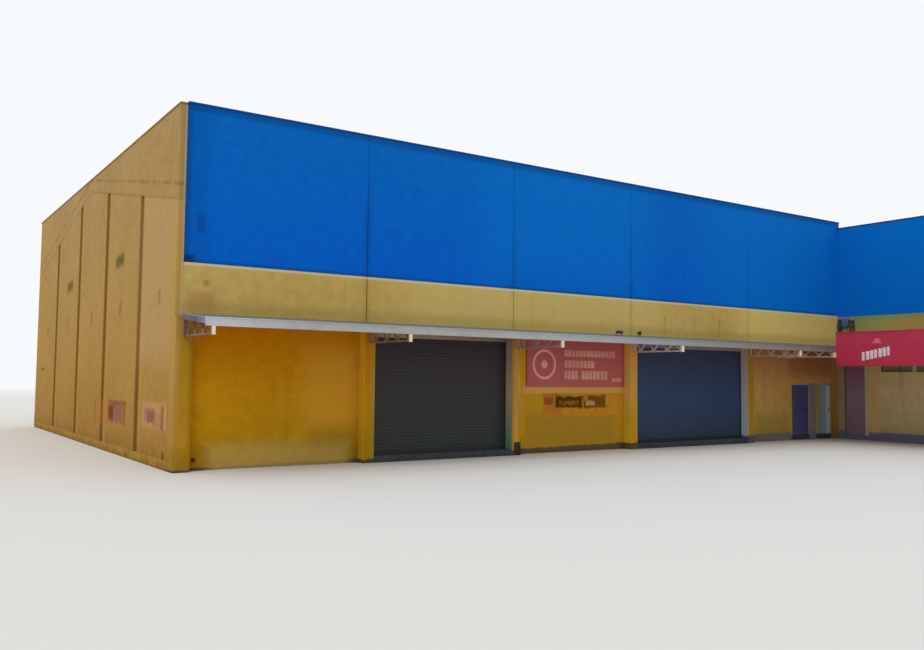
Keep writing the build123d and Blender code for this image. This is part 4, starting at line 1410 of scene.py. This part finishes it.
def door_handle(side):
    """A lever on a long back plate, with a keyhole boss under it."""
    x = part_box(f"door_leaf_{side}")[1].x - handle_from_edge
    y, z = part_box("door_heads")[0].y + 0.002, handle_height
    parts = [
        block((x - 0.022, y - 0.008, z - 0.12), (x + 0.022, y, z + 0.1)),
        rod((x, y - 0.03, z), 0.01, 0.05, turn_to_y, 20),
        rod((x - 0.055, y - 0.05, z), 0.009, 0.13, turn_to_x, 20),
        rod((x, y - 0.01, z - 0.075), 0.009, 0.012, turn_to_y, 20),
    ]
    name = f"{side}_door_handle"
    build(name, parts, "Dark metal", 0.0015, body=f"{side}_door")


def column_guard():
    """A dark steel guard folded round the foot of the column beside the left shutter."""
    right = column_centres[1] + half_column + guard_stand
    guard = block((guard_left, -guard_stand, 0.0), (right, guard_depth, guard_height))
    on_faces(guard, lambda c, n: n.y > 0.9 or n.x < -0.9, remove_faces)
    build("column_guard", [thicken(guard, 0.005)], "Guard paint", 0.0015)


door_handle("left")
door_handle("right")
column_guard()

# Floor, light and camera


def mix_shaders(tree, share, first, second):
    """Blend two shaders' or backgrounds' first outputs."""
    made = add_node(tree, "MixShader", [share])
    tree.links.new(first.outputs[0], made.inputs[1])
    tree.links.new(second.outputs[0], made.inputs[2])
    return made.outputs[0]


def seen_rays(tree):
    """1 where the camera looks at a surface, directly, in a gloss or through glass."""
    rays = add_node(tree, "LightPath").outputs
    seen = most(Field(rays["Is Camera Ray"]), Field(rays["Is Glossy Ray"]))
    return most(seen, Field(rays["Is Transmission Ray"]))


def pale_floor():
    """A plain pale floor, which isn't part of the building, fading into the background."""
    bpy.ops.object.select_all(action="DESELECT")
    bpy.ops.mesh.primitive_plane_add(size=floor_size, location=floor_middle)
    floor = settle(bpy.context.object)
    floor.name = "pale_floor"
    tree, shader = new_material("Pale floor", specular=0.1)
    shader.inputs["Base Color"].default_value = floor_color
    shader.inputs["Roughness"].default_value = 0.95
    places = (object_place(tree), floor_middle)
    away = field(tree, "VectorMath", places, "Value", operation="DISTANCE")
    glow = add_node(tree, "Emission", {"Color": backdrop_color, "Strength": 1.0})
    share = remap(away, *floor_fade) * seen_rays(tree)
    surface = tree.nodes["Material Output"].inputs["Surface"]
    tree.links.new(mix_shaders(tree, share, shader, glow), surface)
    floor.data.materials.append(bpy.data.materials["Pale floor"])


def put_in_scene(name, data):
    """Put a light or a camera in the scene."""
    placed = bpy.data.objects.new(name, data)
    bpy.context.scene.collection.objects.link(placed)
    return placed


def plain_light():
    """Soft light all round, pale where the camera, metal or glass sees it, and one broad soft sun."""
    world = bpy.data.worlds.new("Plain sky")
    world.use_nodes = True
    bpy.context.scene.world = world
    tree = world.node_tree
    tree.nodes.clear()
    seen = add_node(tree, "Background", {"Color": backdrop_color, "Strength": 1.0})
    sky = add_node(tree, "Background", {"Color": sky_color, "Strength": sky_strength})
    output = add_node(tree, "OutputWorld")
    tree.links.new(mix_shaders(tree, seen_rays(tree), sky, seen), output.inputs["Surface"])
    sun = bpy.data.lights.new("soft_sun", "SUN")
    sun.energy, sun.color, sun.angle = sun_strength, sun_color, math.radians(sun_angle)
    lamp = put_in_scene("soft_sun", sun)
    lamp.rotation_mode = "QUATERNION"
    lamp.rotation_quaternion = Vector(sun_way).to_track_quat("-Z", "Y")


def photo_camera():
    """A camera at the photograph's place and angle."""
    data = bpy.data.cameras.new("photo_camera")
    data.sensor_width, data.lens, data.clip_end = sensor_width, camera_lens, camera_reach
    camera = put_in_scene("photo_camera", data)
    yaw, pitch, roll = (math.radians(angle) for angle in (camera_yaw, camera_pitch, camera_roll))
    level = Vector((math.cos(yaw), -math.sin(yaw), 0))
    forward = Vector((math.sin(yaw), math.cos(yaw), math.tan(pitch))).normalized()
    upright = level.cross(forward)
    right = level * math.cos(roll) + upright * math.sin(roll)
    up = upright * math.cos(roll) - level * math.sin(roll)
    axes = Matrix((right, up, -forward)).transposed()
    camera.matrix_world = Matrix.Translation(camera_place) @ axes.to_4x4()
    bpy.context.scene.camera = camera


pale_floor()
plain_light()
photo_camera()
bpy.context.scene.view_settings.view_transform = "Standard"
